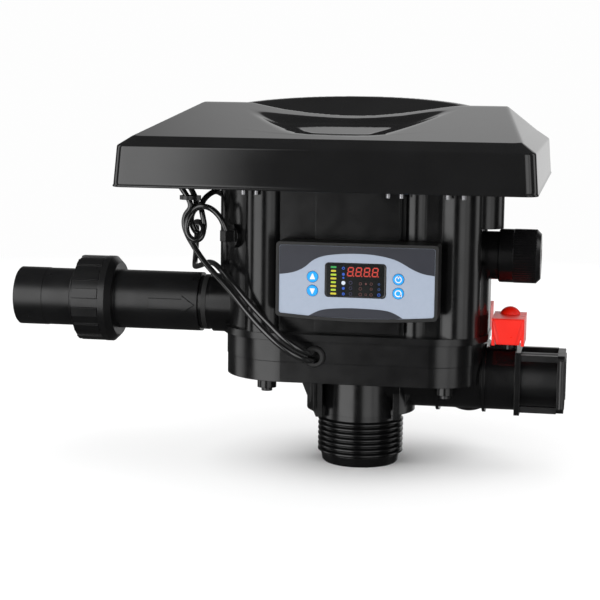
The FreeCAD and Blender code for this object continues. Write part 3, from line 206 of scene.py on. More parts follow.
surfaces = {name: mouldedSurface(name, s) for name, s in finishes.items()}
glows = {"glowRed": ((0.85, 0.045, 0.02), 0.8), "glowGreen": ((0.02, 0.5, 0.09), 0.8),
         "glowYellow": ((0.85, 0.72, 0.02), 0.9), "glowLime": ((0.6, 0.85, 0.02), 0.9),
         "glowBlue": ((0.006, 0.12, 0.75), 0.8), "glowWhite": ((0.8, 0.88, 1.0), 1.0),
         "dimRed": ((0.28, 0.07, 0.06), 0.5), "dimViolet": ((0.07, 0.06, 0.22), 0.5),
         "dimBlue": ((0.03, 0.14, 0.5), 0.5)}
surfaces.update({name: glowSurface(name, *g) for name, g in glows.items()})

finishOf = {
    "casingBlack": ["lower_casing", "upper_casing", "deck_plate", "knob_ring", "knob_cap",
                    "side_gland", "rear_gland"],
    "pipeBlack": ["union_body", "union_nut", "inlet_spigot", "outlet_socket", "riser_insert"],
    "coverBlack": ["top_cover"], "panelBlack": ["panel_housing"], "filmBlue": ["panel_label"],
    "windowBlack": ["display_window", "digit_module"],
    "keyBlue": ["key_up", "key_down", "key_menu", "key_enter"],
    "boardGreen": ["sensor_board", "display_board"], "leverRed": ["outlet_handle", "drain_handle"],
    "ballGrey": ["outlet_ball", "drain_ball"], "seatWhite": ["outlet_seats", "drain_seats"],
    "sealRubber": ["riser_seal", "lid_seal", "union_seal", "stub_seal", "disc_seal",
                   "lead_grommet", "lead_bushings"],
    "ceramic": ["fixed_disc", "moving_disc"],
    "gearNylon": ["drive_gear", "drive_stem", "stem_bush", "flow_plunger"],
    "brassTurned": ["motor_pinion", "board_posts", "board_pillars"],
    "screwSteel": ["deck_screws"],
    "tieNylon": ["boss_screws", "lead_tie"],
    "plateSteel": ["position_magnets", "motor_bracket"],
    "motorCan": ["drive_motor"],
    "sheathBlack": ["display_lead", "power_lead", "probe_lead", "display_tail", "power_tail",
                    "probe_tail", "lead_hank"],
}


def finishNode(name, surface):
    data = nodes[name].data
    data.materials.clear()
    data.materials.append(surface)


for finish, names in finishOf.items():
    for name in names:
        finishNode(name, surfaces[finish])
print("materials made:", len(surfaces))

# leads: smooth sheathed cords along their routes

cordSet = {"diameter": 4.8, "sides": 5, "steps": 10}
glandWay = 110.3  # how far left of the tank thread's axis both glands open
cordRoutes = {
    "displayCord": {
        "points": [(-31.5, -51, 94.3), (-32, -63, 94.6), (-36.5, -72, 96.8), (-45, -77, 101.3),
                   (-55.5, -77.8, 108), (-66.5, -75.5, 116.8), (-77.5, -71.5, 126),
                   (-88, -66.5, 135.8), (-98, -60.5, 145.6), (-108, -53.5, 154),
                   (-118, -46, 161.6), (-127, -38.5, 168.4), (-134.5, -31, 175),
                   (-141, -25, 182), (-147.6, -20, 190), (-151.6, -17.5, 199),
                   (-150.2, -18.5, 207.6), (-144.6, -20.5, 213.2), (-145.4, -20.6, 219.6),
                   (-151.6, -18.8, 228), (-156.4, -16.8, 233.6), (-157, -16, 239)],
        "replaced": ["display_lead", "display_tail", "lead_hank"], "length": 0.238},
    "powerCord": {
        "points": [(-31.5, -51, 99.7), (-32.2, -61.6, 100), (-36.7, -69.5, 102.6),
                   (-44.1, -74.5, 107.2), (-54.9, -74.4, 114.9), (-66, -70, 124.2),
                   (-77, -65.6, 133.2), (-87.2, -61.3, 142.6), (-97, -55.4, 151.6),
                   (-106.5, -47.4, 159), (-115, -36.8, 164.4), (-122.6, -24, 167.4),
                   (-130, -10.5, 167.2), (-137.4, 3, 164.6), (-144.4, 15.4, 161),
                   (-151, 27, 158.4), (-155.3, 37.6, 157.1), (-157.3, 47.6, 161.7),
                   (-158, 53.7, 171), (-157.4, 53.9, 182.1), (-156, 48.1, 191.4),
                   (-154, 38.2, 196.1), (-151.8, 27.2, 197), (-149.6, 16.2, 197.6),
                   (-147.4, 5, 198.6), (-143, -6, 201), (-136.6, -15, 201),
                   (-132.8, -21.5, 195.4), (-135, -24.6, 187.6), (-142, -25, 186.4),
                   (-147.6, -24.4, 193), (-147.4, -22.6, 203), (-141.8, -19, 211.4),
                   (-140.8, -15.4, 219.6), (-146, -12.4, 228.4), (-149.7, -10.4, 233.6),
                   (-150, -10, 239)],
        "replaced": ["power_lead", "power_tail"], "length": 0.41},
    "probeCord": {
        "points": [(-glandWay, -39, 197), (-112.5, -39.7, 204.2), (-116.9, -38.9, 210.3),
                   (-122.7, -36.5, 214.6), (-129.1, -32.9, 216.4), (-136, -27.5, 215.5),
                   (-142.6, -20.6, 211.4), (-146.4, -14.6, 203), (-143.4, -13, 193.4),
                   (-137.4, -14.2, 190.4), (-133.4, -16.4, 197), (-135.2, -16.6, 206.6),
                   (-137.4, -15, 214.4), (-135.3, -11.6, 220.9), (-131.2, -4.2, 225.5),
                   (-128.4, 5.9, 226.5), (-125.4, 16.5, 222.6), (-120.4, 26.5, 218.2),
                   (-114.7, 34, 212.6), (-111.4, 37.8, 205.5), (-glandWay, 39, 197)],
        "replaced": ["probe_lead", "probe_tail"], "length": 0.179},
}


def makeCord(name, route, s):
    data = bpy.data.curves.new(name, "CURVE")
    data.dimensions = "3D"
    data.bevel_depth = s["diameter"] / 2 * mm
    data.bevel_resolution = s["sides"]
    data.use_fill_caps = True
    data.resolution_u = s["steps"]
    spline = data.splines.new("NURBS")
    spline.points.add(len(route["points"]) - 1)
    for point, place in zip(spline.points, route["points"]):
        point.co = (*(c * mm for c in place), 1)
    spline.order_u = 3
    spline.use_endpoint_u = True
    cord = bpy.data.objects.new(name, data)
    bpy.context.scene.collection.objects.link(cord)
    data.materials.append(surfaces["sheathBlack"])
    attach(cord, "valve")
    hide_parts(*route["replaced"])
    return cord


def cordLength(cord):
    line = cord.data.copy()
    line.bevel_depth = 0
    probe = bpy.data.objects.new("lineProbe", line)
    bpy.context.scene.collection.objects.link(probe)
    bpy.context.view_layer.update()
    mesh = bpy.data.meshes.new_from_object(probe)
    spots = [v.co for v in mesh.vertices]
    bpy.data.objects.remove(probe)
    return sum((b - a).length for a, b in zip(spots, spots[1:]))


for name, route in cordRoutes.items():
    made = makeCord(name, route, cordSet)
    print(name, "length %.4f" % cordLength(made))
print("leads laid")

# cover: one smooth shell with soft edges, a crest and two hollows

coverSet = {
    "left": -174.7, "right": 149.6, "half": 156.0, "cells": (190, 180),
    # inset from the skirt's foot, height, corner radius
    "outside": [(0.3, 239.5, 9), (-0.4, 239.7, 9.2), (-0.6, 240.3, 9.4), (-0.45, 241.0, 9.3),
                (0.0, 241.5, 9.2), (0.1, 243.5, 9.2), (1.2, 257.0, 9), (2.15, 269.6, 9),
                (2.35, 270.9, 9), (2.9, 271.7, 8.8), (3.7, 272.25, 8.6), (7.5, 274.9, 7.6),
                (11.3, 277.6, 6.6), (12.0, 278.05, 6.4)],
    "inside": [(15.6, 275.0, 4.6), (12.0, 273.2, 5.0), (5.6, 268.6, 6.2), (5.2, 266.0, 6.3),
               (3.4, 243.0, 6.6), (3.0, 240.3, 6.6), (2.5, 239.5, 7.0), (1.2, 239.4, 8.2)],
    # where the sloping top starts (inset, height, corner radius), and the same for its underside
    "edge": (12.5, 278.3, 6.3), "underEdge": (16.1, 4.4), "rise": 24.3, "wall": 3.4,
    "run": 139.5, "leftRun": 24.2, "rightRun": 19.6, "hip": 1.6,
    # round hollow: centre x and y, rim radius, depth, rim height at its centre, slope of the rim
    "dish": (-11.0, -30.0, 97.0, 15.0, 293.9, 0.1423), "stretch": 0.84,
    # raised rim: radius where it starts to fall, how fast it falls, blend into the top
    "crown": (99.4, 0.87, 2.0),
    # the round hollow's wall, how far it reaches past the rim, its lift and its blend
    "rearWall": 11, "rearReach": 14, "rearLift": 0.3, "rearBlend": 1.2,
    "outline": [(-105.6, -13.8), (-89.9, -46.9), (-71.6, -80.8), (-54.8, -110.6),
                (-42.8, -124.6), (-29.9, -130.2), (-11, -133), (7.4, -133.4), (24, -130.4),
                (37, -122.5), (47.2, -99.1), (59.9, -69.6), (72.9, -37.5), (85.5, -8.4)],
    "crestFront": [(-105.6, -13.8), (-82.7, -38.7), (-61, -49.6), (-37.3, -57.9), (-17.1, -62.9),
                   (-0.5, -63.9), (15.4, -60.4), (36, -50.2), (55.9, -32), (85.5, -8.4)],
    "crestBack": [(-103, 1.3), (-85.7, -13.8), (-64.8, -30.2), (-39.7, -43.9), (-19.1, -50.6),
                  (-2.1, -52.6), (13.9, -49.8), (34.5, -39.1), (54.8, -22.2), (84.6, 1.6)],
    # front hollow: depth, extra depth at its sides, half width, middle
    "hollow": (3.6, 6.0, 84.0, -4.0),
    # its wall's width at the sides and near the viewer, between which two y values it changes
    "nearWall": (25.0, 34.0, -80.0, -128.0),
    "crestWall": (5.0, 26.0),  # the crest wall's width in the middle and at the sides
    "posts": [(-104, -40), (-104, 40), (92, -40), (92, 40)],
    "post": (4.9, 241.05, 283.0, 32),  # radius, foot, head, sides
    "squareness": 8,  # how late the grid's inner lines turn round with the corners
}


def easeStep(value):
    held = np.clip(value, 0, 1)
    return held * held * (3 - 2 * held)


def softLess(a, b, blend):
    gap = np.maximum(blend - np.abs(a - b), 0) / blend
    return np.minimum(a, b) - gap * gap * blend / 4


def lineDistance(x, y, line):
    near = np.full(x.shape, 1e9)
    for (x0, y0), (x1, y1) in zip(line, line[1:]):
        dx, dy = x1 - x0, y1 - y0
        t = np.clip(((x - x0) * dx + (y - y0) * dy) / (dx * dx + dy * dy), 0, 1)
        near = np.minimum(near, np.hypot(x - x0 - t * dx, y - y0 - t * dy))
    return near


def insideLoop(x, y, loop):
    inside = np.zeros(x.shape, bool)
    for (x0, y0), (x1, y1) in zip(loop, loop[1:] + loop[:1]):
        if y0 != y1:
            inside ^= ((y0 > y) != (y1 > y)) & (x < (x1 - x0) * (y - y0) / (y1 - y0) + x0)
    return inside


def coverHeight(x, y, s):
    inset, foot = s["edge"][:2]
    front = (y + s["half"] - inset) / s["run"] * s["rise"]
    rear = (s["half"] - inset - y) / s["run"] * s["rise"]
    left = (x - s["left"] - inset) / s["leftRun"] * s["rise"]
    right = (s["right"] - inset - x) / s["rightRun"] * s["rise"]
    rise = softLess(softLess(front, rear, s["hip"]), softLess(left, right, s["hip"]), s["hip"])
    top = foot + softLess(rise, np.full(x.shape, s["rise"]), s["hip"] / 2)
    cx, cy, rim, deep, level, tilt = s["dish"]
    away = np.hypot((x - cx) * s["stretch"], y - cy)
    plane = level + tilt * (y - cy)
    crownRim, crownFall, blend = s["crown"]
    crown = plane - np.maximum(away - crownRim, 0) * crownFall
    top = -softLess(-top, -crown, blend)
    # rear hollow, behind the crest
    bowl = plane - deep * (1 - (away / rim) ** 2)
    line = np.array(s["crestBack"])
    behind = y > np.interp(x, line[:, 0], line[:, 1])
    depth = np.where(behind, easeStep(lineDistance(x, y, s["crestBack"]) / s["rearWall"]), 0)
    sunk = top - np.maximum(top - bowl, 0) * depth
    smoothed = softLess(top, sunk + s["rearLift"], s["rearBlend"])
    top = np.where(behind & (away < rim + s["rearReach"]), smoothed, top)
    # front hollow, its floor level with the slope around it
    spots = insideLoop(x, y, s["outline"] + s["crestFront"][::-1][1:-1])
    low, extra, reach, middle = s["hollow"]
    outward = np.minimum(np.abs(x - middle) / reach, 1) ** 2
    side, near, start, end = s["nearWall"]
    width = side + (near - side) * np.clip((y - start) / (end - start), 0, 1)
    thin, thick = s["crestWall"]
    wall = thin + (thick - thin) * outward
    fall = (low + extra * outward) * easeStep(lineDistance(x, y, s["outline"]) / width)
    fall = fall * easeStep(lineDistance(x, y, s["crestFront"]) / wall)
    return top - np.where(spots, fall, 0)


def cornered(u, v, halfX, halfY, radius):
    # where a square's rim point lies on the rounded outline
    def along(share, half):
        gap = half * (1 - abs(share))
        arc = radius * math.pi / 4
        if gap < arc:
            angle = math.pi / 4 - gap / radius
            return half - radius + radius * math.sin(angle), radius * (1 - math.cos(angle))
        return (half - radius) * (half - gap) / (half - arc), 0
    if abs(v) >= abs(u):
        a, drop = along(u, halfX)
        return math.copysign(a, u), math.copysign(halfY - drop, v)
    a, drop = along(v, halfY)
    return math.copysign(halfX - drop, u), math.copysign(a, v)


def makeCover(s):
    across, down = s["cells"]
    centre, halfX = (s["left"] + s["right"]) / 2, (s["right"] - s["left"]) / 2
    loop = [(i, 0) for i in range(across)] + [(across, j) for j in range(down)] \
        + [(i, down) for i in range(across, 0, -1)] + [(0, j) for j in range(down, 0, -1)]
    shares = [(2 * i / across - 1, 2 * j / down - 1) for i, j in loop]

    def ring(level):
        inset, z, radius = level
        spots = [cornered(u, v, halfX - inset, s["half"] - inset, radius) for u, v in shares]
        return [(centre + x, y, z) for x, y in spots]

    def sheet(inset, radius, lowered):
        hx, hy = halfX - inset, s["half"] - inset
        xs, ys = [], []
        for j in range(down + 1):
            for i in range(across + 1):
                u, v = 2 * i / across - 1, 2 * j / down - 1
                most = max(abs(u), abs(v), 1e-6)
                bx, by = cornered(u / most, v / most, hx, hy, radius)
                pull = most ** s["squareness"]
                xs.append(centre + hx * u + (bx - hx * u / most) * pull)
                ys.append(hy * v + (by - hy * v / most) * pull)
        xs, ys = np.array(xs), np.array(ys)
        return list(zip(xs, ys, coverHeight(xs, ys, s) - lowered))

    vertices, faces = [], []

    def addSheet(inset, radius, lowered, upward):
        start = len(vertices)
        vertices.extend(sheet(inset, radius, lowered))
        for j in range(down):
            for i in range(across):
                a = start + j * (across + 1) + i
                face = (a, a + 1, a + across + 2, a + across + 1)
                faces.append(face if upward else face[::-1])
        return [start + j * (across + 1) + i for i, j in loop]

    rings = []
    for level in s["outside"]:
        rings.append(list(range(len(vertices), len(vertices) + len(loop))))
        vertices.extend(ring(level))
    rings.append(addSheet(s["edge"][0], s["edge"][2], 0, True))
    rings.append(addSheet(*s["underEdge"], s["wall"], False))
    joins = list(zip(rings[:-2], rings[1:-1]))
    last = rings[-1]
    for level in s["inside"]:
        fresh = list(range(len(vertices), len(vertices) + len(loop)))
        vertices.extend(ring(level))
        joins.append((last, fresh))
        last = fresh
    joins.append((last, rings[0]))
    for low, high in joins:
        for k in range(len(loop)):
            after = (k + 1) % len(loop)
            faces.append((low[k], low[after], high[after], high[k]))
    radius, foot, head, sides = s["post"]
    for px, py in s["posts"]:
        start = len(vertices)
        for z in (foot, head):
            vertices.extend((px + x, py + y, z) for x, y in circle(0, 0, radius, sides))
        faces.append(tuple(range(start + sides - 1, start - 1, -1)))
        faces.append(tuple(range(start + sides, start + 2 * sides)))
        for k in range(sides):
            after = (k + 1) % sides
            faces.append((start + k, start + after, start + sides + after, start + sides + k))
    cover = addMesh("smoothCover", [(x * mm, y * mm, z * mm) for x, y, z in vertices], faces,
                    surfaces["coverBlack"], "cover")
    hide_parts("top_cover")


# helpers: a smooth mesh from points and faces, outlines, and flat pieces off the panel


def addMesh(name, vertices, faces, surface, body):
    data = bpy.data.meshes.new(name)
    data.from_pydata([tuple(v) for v in vertices], [], faces)
    data.update()
    piece = bpy.data.objects.new(name, data)
    bpy.context.scene.collection.objects.link(piece)
    data.materials.append(surface)
    for face in data.polygons:
        face.use_smooth = True
    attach(piece, body)
    return piece


def rounded(x0, x1, z0, z1, radius, steps=6):
    spots = []
    for cx, cz, start in ((x1 - radius, z0 + radius, -90), (x1 - radius, z1 - radius, 0),
                          (x0 + radius, z1 - radius, 90), (x0 + radius, z0 + radius, 180)):
        for step in range(steps + 1):
            angle = math.radians(start + 90 * step / steps)
            spots.append((cx + radius * math.cos(angle), cz + radius * math.sin(angle)))
    return spots


def circle(x, z, radius, steps=32):
    return [(x + radius * math.cos(math.tau * k / steps), z + radius * math.sin(math.tau * k / steps))
            for k in range(steps)]


def smoothLine(knots, steps=10):
    # a curve through its knots
    line = []
    padded = [knots[0]] + list(knots) + [knots[-1]]
    for p0, p1, p2, p3 in zip(padded, padded[1:], padded[2:], padded[3:]):
        for step in range(steps):
            t = step / steps
            line.append(tuple(0.5 * (2 * b + (c - a) * t + (2 * a - 5 * b + 4 * c - d) * t * t
                                     + (3 * b - a - 3 * c + d) * t ** 3)
                              for a, b, c, d in zip(p0, p1, p2, p3)))
    return line + [knots[-1]]


class FlatSet:
    # gathers outlines, holes left open, and raises them off the panel as one mesh
    def __init__(self, front, back):
        self.mesh, self.front, self.back = bmesh.new(), front, back

    def area(self, outline):
        turned = sum(a[0] * b[1] - b[0] * a[1] for a, b in zip(outline, outline[1:] + outline[:1]))
        spots = outline if turned > 0 else outline[::-1]
        fronts = [self.mesh.verts.new((x * mm, self.front * mm, z * mm)) for x, z in spots]
        backs = [self.mesh.verts.new((x * mm, self.back * mm, z * mm)) for x, z in spots]
        self.mesh.faces.new(fronts)
        self.mesh.faces.new(backs[::-1])
        for k in range(len(spots)):
            nextOne = (k + 1) % len(spots)
            self.mesh.faces.new((fronts[k], backs[k], backs[nextOne], fronts[nextOne]))

    def ring(self, outer, inner):
        count = len(outer)
        rings = [[self.mesh.verts.new((x * mm, y * mm, z * mm)) for x, z in line]
                 for line, y in ((outer, self.front), (inner, self.front), (inner, self.back),
                                 (outer, self.back))]
        for first, second in zip(rings, rings[1:] + rings[:1]):
            for k in range(count):
                nextOne = (k + 1) % count
                self.mesh.faces.new((first[k], first[nextOne], second[nextOne], second[k]))

    def finish(self, name, surface, body, slotName):
        bmesh.ops.recalc_face_normals(self.mesh, faces=self.mesh.faces)
        data = bpy.data.meshes.new(name)
        self.mesh.to_mesh(data)
        self.mesh.free()
        piece = bpy.data.objects.new(name, data)
        bpy.context.scene.collection.objects.link(piece)
        data.materials.append(surface)
        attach(piece, body)


makeCover(coverSet)
print("cover made")

# label: slate fields at its top and foot

labelSet = {"left": -56.4, "right": 68.4, "top": 191.4, "corner": 2.0, "front": -82.05,
            "back": -82.0,
            "swoosh": [(-56.4, 167.8), (-50, 168.6), (-43, 170.4), (-36, 174), (-29, 179.8),
                       (-21, 183.2), (-10, 185), (4, 185.8), (18, 185.4), (30, 183.6),
                       (39, 180.9), (46, 177.2), (52, 174), (60, 171.2), (68.4, 170)],
            "arch": [(-32.2, 134.9), (-27.5, 137.6), (-22, 139.8), (-14, 141.2), (0, 142.1),
                     (12, 142), (24, 141.6), (32, 140.6), (38, 138.4), (43.6, 135.2)],
            "archFoot": 133.95, "footSteps": 12, "cornerSteps": 6}


def labelFields(s):
    fields = FlatSet(s["front"], s["back"])
    radius = s["corner"]
    corners = []
    for cx, start in ((s["right"] - radius, 0), (s["left"] + radius, 90)):
        for k in range(s["cornerSteps"] + 1):
            angle = math.radians(start + 90 * k / s["cornerSteps"])
            corners.append((cx + radius * math.cos(angle),
                            s["top"] - radius + radius * math.sin(angle)))
    fields.area(smoothLine(s["swoosh"]) + corners)
    first, last = s["arch"][0], s["arch"][-1]
    steps = s["footSteps"]
    foot = [(last[0] + (first[0] - last[0]) * k / steps,
             s["archFoot"] + (2 * k / steps - 1) ** 2 * (first[1] - s["archFoot"]))
            for k in range(1, steps)]
    fields.area(smoothLine(s["arch"]) + foot)
    fields.finish("labelFields", surfaces["filmSlate"], "valve", "label_blue_grey")


labelFields(labelSet)

# window: bezel, bars, digits and small signs

windowSet = {"left": -19.6, "right": 30.0, "bottom": 150.5, "top": 178.4, "round": 3.0,
             "front": -82.0, "lit": -82.05,
             # the bezel's cross section: inset from the window's edge, rise off its front
             "bezel": ((0.05, 0.0), (0.15, 0.28), (0.5, 0.34), (1.35, 0.3), (1.65, 0.02)),
             "roundFall": 0.6, "leastRound": 0.8}


def windowBezel(s):
    loops = [[(x * mm, (s["front"] - rise) * mm, z * mm) for x, z in
              rounded(s["left"] + inset, s["right"] - inset, s["bottom"] + inset,
                      s["top"] - inset, max(s["round"] - inset * s["roundFall"], s["leastRound"]))]
             for inset, rise in s["bezel"]]
    count = len(loops[0])
    vertices = [spot for loop in loops for spot in loop]
    faces = [(k + row * count, (k + 1) % count + row * count, (k + 1) % count + (row + 1) * count,
              k + (row + 1) * count)
             for row in range(len(loops) - 1) for k in range(count)]
    addMesh("windowBezel", vertices, faces, surfaces["bezelBlack"], "valve")


windowBezel(windowSet)

barSet = {"count": 8, "pitch": 3.04 * mm, "length": 4.4 * mm, "height": 1.5 * mm,
          "round": 0.5 * mm, "rise": 0.05 * mm, "seed": 4, "x": -12.5, "top": 174.7,
          "shortest": 0.9, "longest": 1.1, "cornerPoints": 4, "weld": 0.004 * mm}


def barRowNodes(s):
    # a column of rounded bars: green at its head, then yellow and lime in turn
    tree = bpy.data.node_groups.new("barRow", "GeometryNodeTree")
    sockets = {}
    for name, kind in (("Count", "NodeSocketInt"), ("Pitch", "NodeSocketFloat"),
                       ("Length", "NodeSocketFloat"), ("Height", "NodeSocketFloat"),
                       ("Round", "NodeSocketFloat"), ("Rise", "NodeSocketFloat"),
                       ("Seed", "NodeSocketInt")):
        sockets[name] = tree.interface.new_socket(name=name, in_out="INPUT", socket_type=kind)
    tree.interface.new_socket(name="Bars", in_out="OUTPUT", socket_type="NodeSocketGeometry")
    given = tree.nodes.new("NodeGroupInput")
    result = tree.nodes.new("NodeGroupOutput")
    link = tree.links.new

    def node(kind, **settings):
        made = tree.nodes.new(kind)
        for key, value in settings.items():
            setattr(made, key, value)
        return made

    down = node("ShaderNodeMath", operation="MULTIPLY")
    link(given.outputs["Pitch"], down.inputs[0])
    down.inputs[1].default_value = -1
    offset = node("ShaderNodeCombineXYZ")
    link(down.outputs[0], offset.inputs["Z"])
    column = node("GeometryNodeMeshLine", mode="OFFSET")
    link(given.outputs["Count"], column.inputs["Count"])
    link(offset.outputs[0], column.inputs["Offset"])
    outline = node("GeometryNodeCurvePrimitiveQuadrilateral")
    link(given.outputs["Length"], outline.inputs["Width"])
    link(given.outputs["Height"], outline.inputs["Height"])
    fillet = node("GeometryNodeFilletCurve", mode="POLY")
    link(outline.outputs[0], fillet.inputs["Curve"])
    fillet.inputs["Count"].default_value = s["cornerPoints"]
    link(given.outputs["Round"], fillet.inputs["Radius"])
    face = node("GeometryNodeFillCurve")
    link(fillet.outputs[0], face.inputs["Curve"])
    raised = node("GeometryNodeExtrudeMesh", mode="FACES")
    link(face.outputs[0], raised.inputs["Mesh"])
    link(given.outputs["Rise"], raised.inputs["Offset Scale"])
    back = node("GeometryNodeFlipFaces")
    link(face.outputs[0], back.inputs["Mesh"])
    both = node("GeometryNodeJoinGeometry")
    link(raised.outputs["Mesh"], both.inputs[0])
    link(back.outputs[0], both.inputs[0])
    closed = node("GeometryNodeMergeByDistance")
    link(both.outputs[0], closed.inputs["Geometry"])
    closed.inputs["Distance"].default_value = s["weld"]
    index = node("GeometryNodeInputIndex")
    uneven = node("FunctionNodeRandomValue", data_type="FLOAT_VECTOR")
    uneven.inputs[0].default_value = (s["shortest"], 1, 1)
    uneven.inputs[1].default_value = (s["longest"], 1, 1)
    link(given.outputs["Seed"], uneven.inputs["Seed"])
    parity = node("ShaderNodeMath", operation="MODULO")
    link(index.outputs[0], parity.inputs[0])
    parity.inputs[1].default_value = 2

    def equals(value, number):
        test = node("FunctionNodeCompare", data_type="INT", operation="EQUAL")
        link(value, test.inputs[2])
        test.inputs[3].default_value = number
        return test.outputs[0]

    first = equals(index.outputs[0], 0)
    laterEven = node("FunctionNodeBooleanMath", operation="NIMPLY")
    link(equals(parity.outputs[0], 0), laterEven.inputs[0])
    link(first, laterEven.inputs[1])
    gathered = node("GeometryNodeJoinGeometry")
    for chosen, light in ((first, "glowGreen"), (equals(parity.outputs[0], 1), "glowYellow"),
                          (laterEven.outputs[0], "glowLime")):
        placed = node("GeometryNodeInstanceOnPoints")
        link(column.outputs[0], placed.inputs["Points"])
        link(chosen, placed.inputs["Selection"])
        link(closed.outputs[0], placed.inputs["Instance"])
        placed.inputs["Rotation"].default_value = (math.pi / 2, 0, 0)
        link(uneven.outputs[0], placed.inputs["Scale"])
        real = node("GeometryNodeRealizeInstances")
        link(placed.outputs[0], real.inputs[0])
        painted = node("GeometryNodeSetMaterial")
        painted.inputs["Material"].default_value = surfaces[light]
        link(real.outputs[0], painted.inputs["Geometry"])
        link(painted.outputs[0], gathered.inputs[0])
    link(gathered.outputs[0], result.inputs[0])
    return tree, {name: socket.identifier for name, socket in sockets.items()}


def litBars(s):
    tree, keys = barRowNodes(s)
    piece = bpy.data.objects.new("litBars", bpy.data.meshes.new("litBars"))
    bpy.context.scene.collection.objects.link(piece)
    grower = piece.modifiers.new("barRow", "NODES")
    grower.node_group = tree
    for name, key in keys.items():
        grower[key] = s[name.lower()]
    bpy.context.view_layer.update()
    baked = bpy.data.meshes.new_from_object(
        piece.evaluated_get(bpy.context.evaluated_depsgraph_get()))
    piece.modifiers.remove(grower)
    baked.transform(Matrix.Translation((s["x"] * mm, windowSet["front"] * mm, s["top"] * mm)))
    piece.data = baked
    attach(piece, "valve")
    print("bars baked with", len(baked.polygons), "faces and", len(baked.materials), "lights")


litBars(barSet)

digitSet = {"left": -1.3, "bottom": 168.1, "width": 4.0, "height": 6.6, "pitch": 6.6,
            "stroke": 0.95, "lean": 0.14, "gap": 0.12, "point": 0.55, "pointAway": 0.95,
            "pointDrop": 0.1, "pointSides": 14, "count": 4}


def litDigits(s):
    digits = FlatSet(windowSet["lit"], windowSet["front"])
    half, wide, tall = s["stroke"] / 2, s["width"], s["height"]

    def bar(x0, z0, x1, z1, left, bottom):
        length = math.hypot(x1 - x0, z1 - z0)
        ux, uz = (x1 - x0) / length, (z1 - z0) / length
        nx, nz = -uz * half, ux * half
        ends = half + s["gap"]
        spots = [(x0 + ux * s["gap"], z0 + uz * s["gap"]),
                 (x0 + ux * ends + nx, z0 + uz * ends + nz),
                 (x1 - ux * ends + nx, z1 - uz * ends + nz),
                 (x1 - ux * s["gap"], z1 - uz * s["gap"]),
                 (x1 - ux * ends - nx, z1 - uz * ends - nz),
                 (x0 + ux * ends - nx, z0 + uz * ends - nz)]
        digits.area([(left + x + z * s["lean"], bottom + z) for x, z in spots])

    for index in range(s["count"]):
        left = s["left"] + index * s["pitch"]
        for z in (0, tall / 2, tall):
            bar(0, z, wide, z, left, s["bottom"])
        for x in (0, wide):
            bar(x, 0, x, tall / 2, left, s["bottom"])
            bar(x, tall / 2, x, tall, left, s["bottom"])
        digits.area(circle(left + wide + s["pointAway"], s["bottom"] - s["pointDrop"],
                           s["point"], s["pointSides"]))
    digits.finish("litDigits", surfaces["glowRed"], "valve", "window_black")


litDigits(digitSet)

signSides = 20
# small round signs: name of the light, then centre, outer radius and inner radius
signSet = [("glowBlue", -4.6, 174.0, 1.15, 0.62), ("glowBlue", -4.5, 169.2, 1.15, 0.0),
           ("glowBlue", -4.5, 166.3, 0.8, 0.0), ("glowWhite", -4.4, 162.2, 1.6, 0.0),
           ("glowBlue", -4.4, 157.9, 1.15, 0.0), ("glowBlue", -4.3, 153.4, 1.15, 0.5),
           ("dimViolet", 1.4, 162.6, 1.4, 1.1), ("dimViolet", 1.4, 158.1, 1.3, 1.05),
           ("dimViolet", 1.4, 153.6, 1.3, 1.05), ("dimRed", 9.3, 162.0, 1.2, 0.85),
           ("dimRed", 13.7, 162.0, 0.8, 0.0), ("dimRed", 18.0, 162.0, 1.15, 0.85),
           ("dimRed", 9.3, 158.0, 1.3, 1.0), ("dimRed", 18.0, 158.0, 1.05, 0.75),
           ("dimRed", 9.3, 153.4, 1.3, 1.0), ("dimRed", 13.7, 153.4, 0.9, 0.65),
           ("dimRed", 18.0, 153.4, 1.2, 0.9), ("dimBlue", 24.2, 162.0, 0.9, 0.5),
           ("dimBlue", 24.2, 157.8, 1.05, 0.7), ("glowBlue", 24.2, 153.5, 1.25, 0.8)]


def litSigns(signs):
    for light in sorted({sign[0] for sign in signs}):
        group = FlatSet(windowSet["lit"], windowSet["front"])
        for own, x, z, outer, inner in signs:
            if own == light and inner:
                group.ring(circle(x, z, outer, signSides), circle(x, z, inner, signSides))
            elif own == light:
                group.area(circle(x, z, outer, signSides))
        group.finish("signs" + light[0].upper() + light[1:], surfaces[light], "valve",
                     "window_black")


litSigns(signSet)

# signs on the keys: two arrows, a ring with a stem and a ring with a tick

keySet = {"front": -82.68, "back": -82.58, "left": -29.4, "right": 39.7, "upper": 166.4,
          "lower": 155.2, "outer": 2.75, "inner": 1.95,
          "arrow": [(0, 2.7), (-0.35, 2.45), (-2.1, -1.5), (-1.9, -1.95), (1.9, -1.95),
                    (2.1, -1.5), (0.35, 2.45)],
          # around each ring's centre: the stem's left, right, foot, head and corner
          "stem": (-0.45, 0.45, 0.3, 3.1, 0.4), "stemSteps": 4,
          "tick": [(0.6, -1.3), (2.9, -2.9), (2.9, -0.9)]}


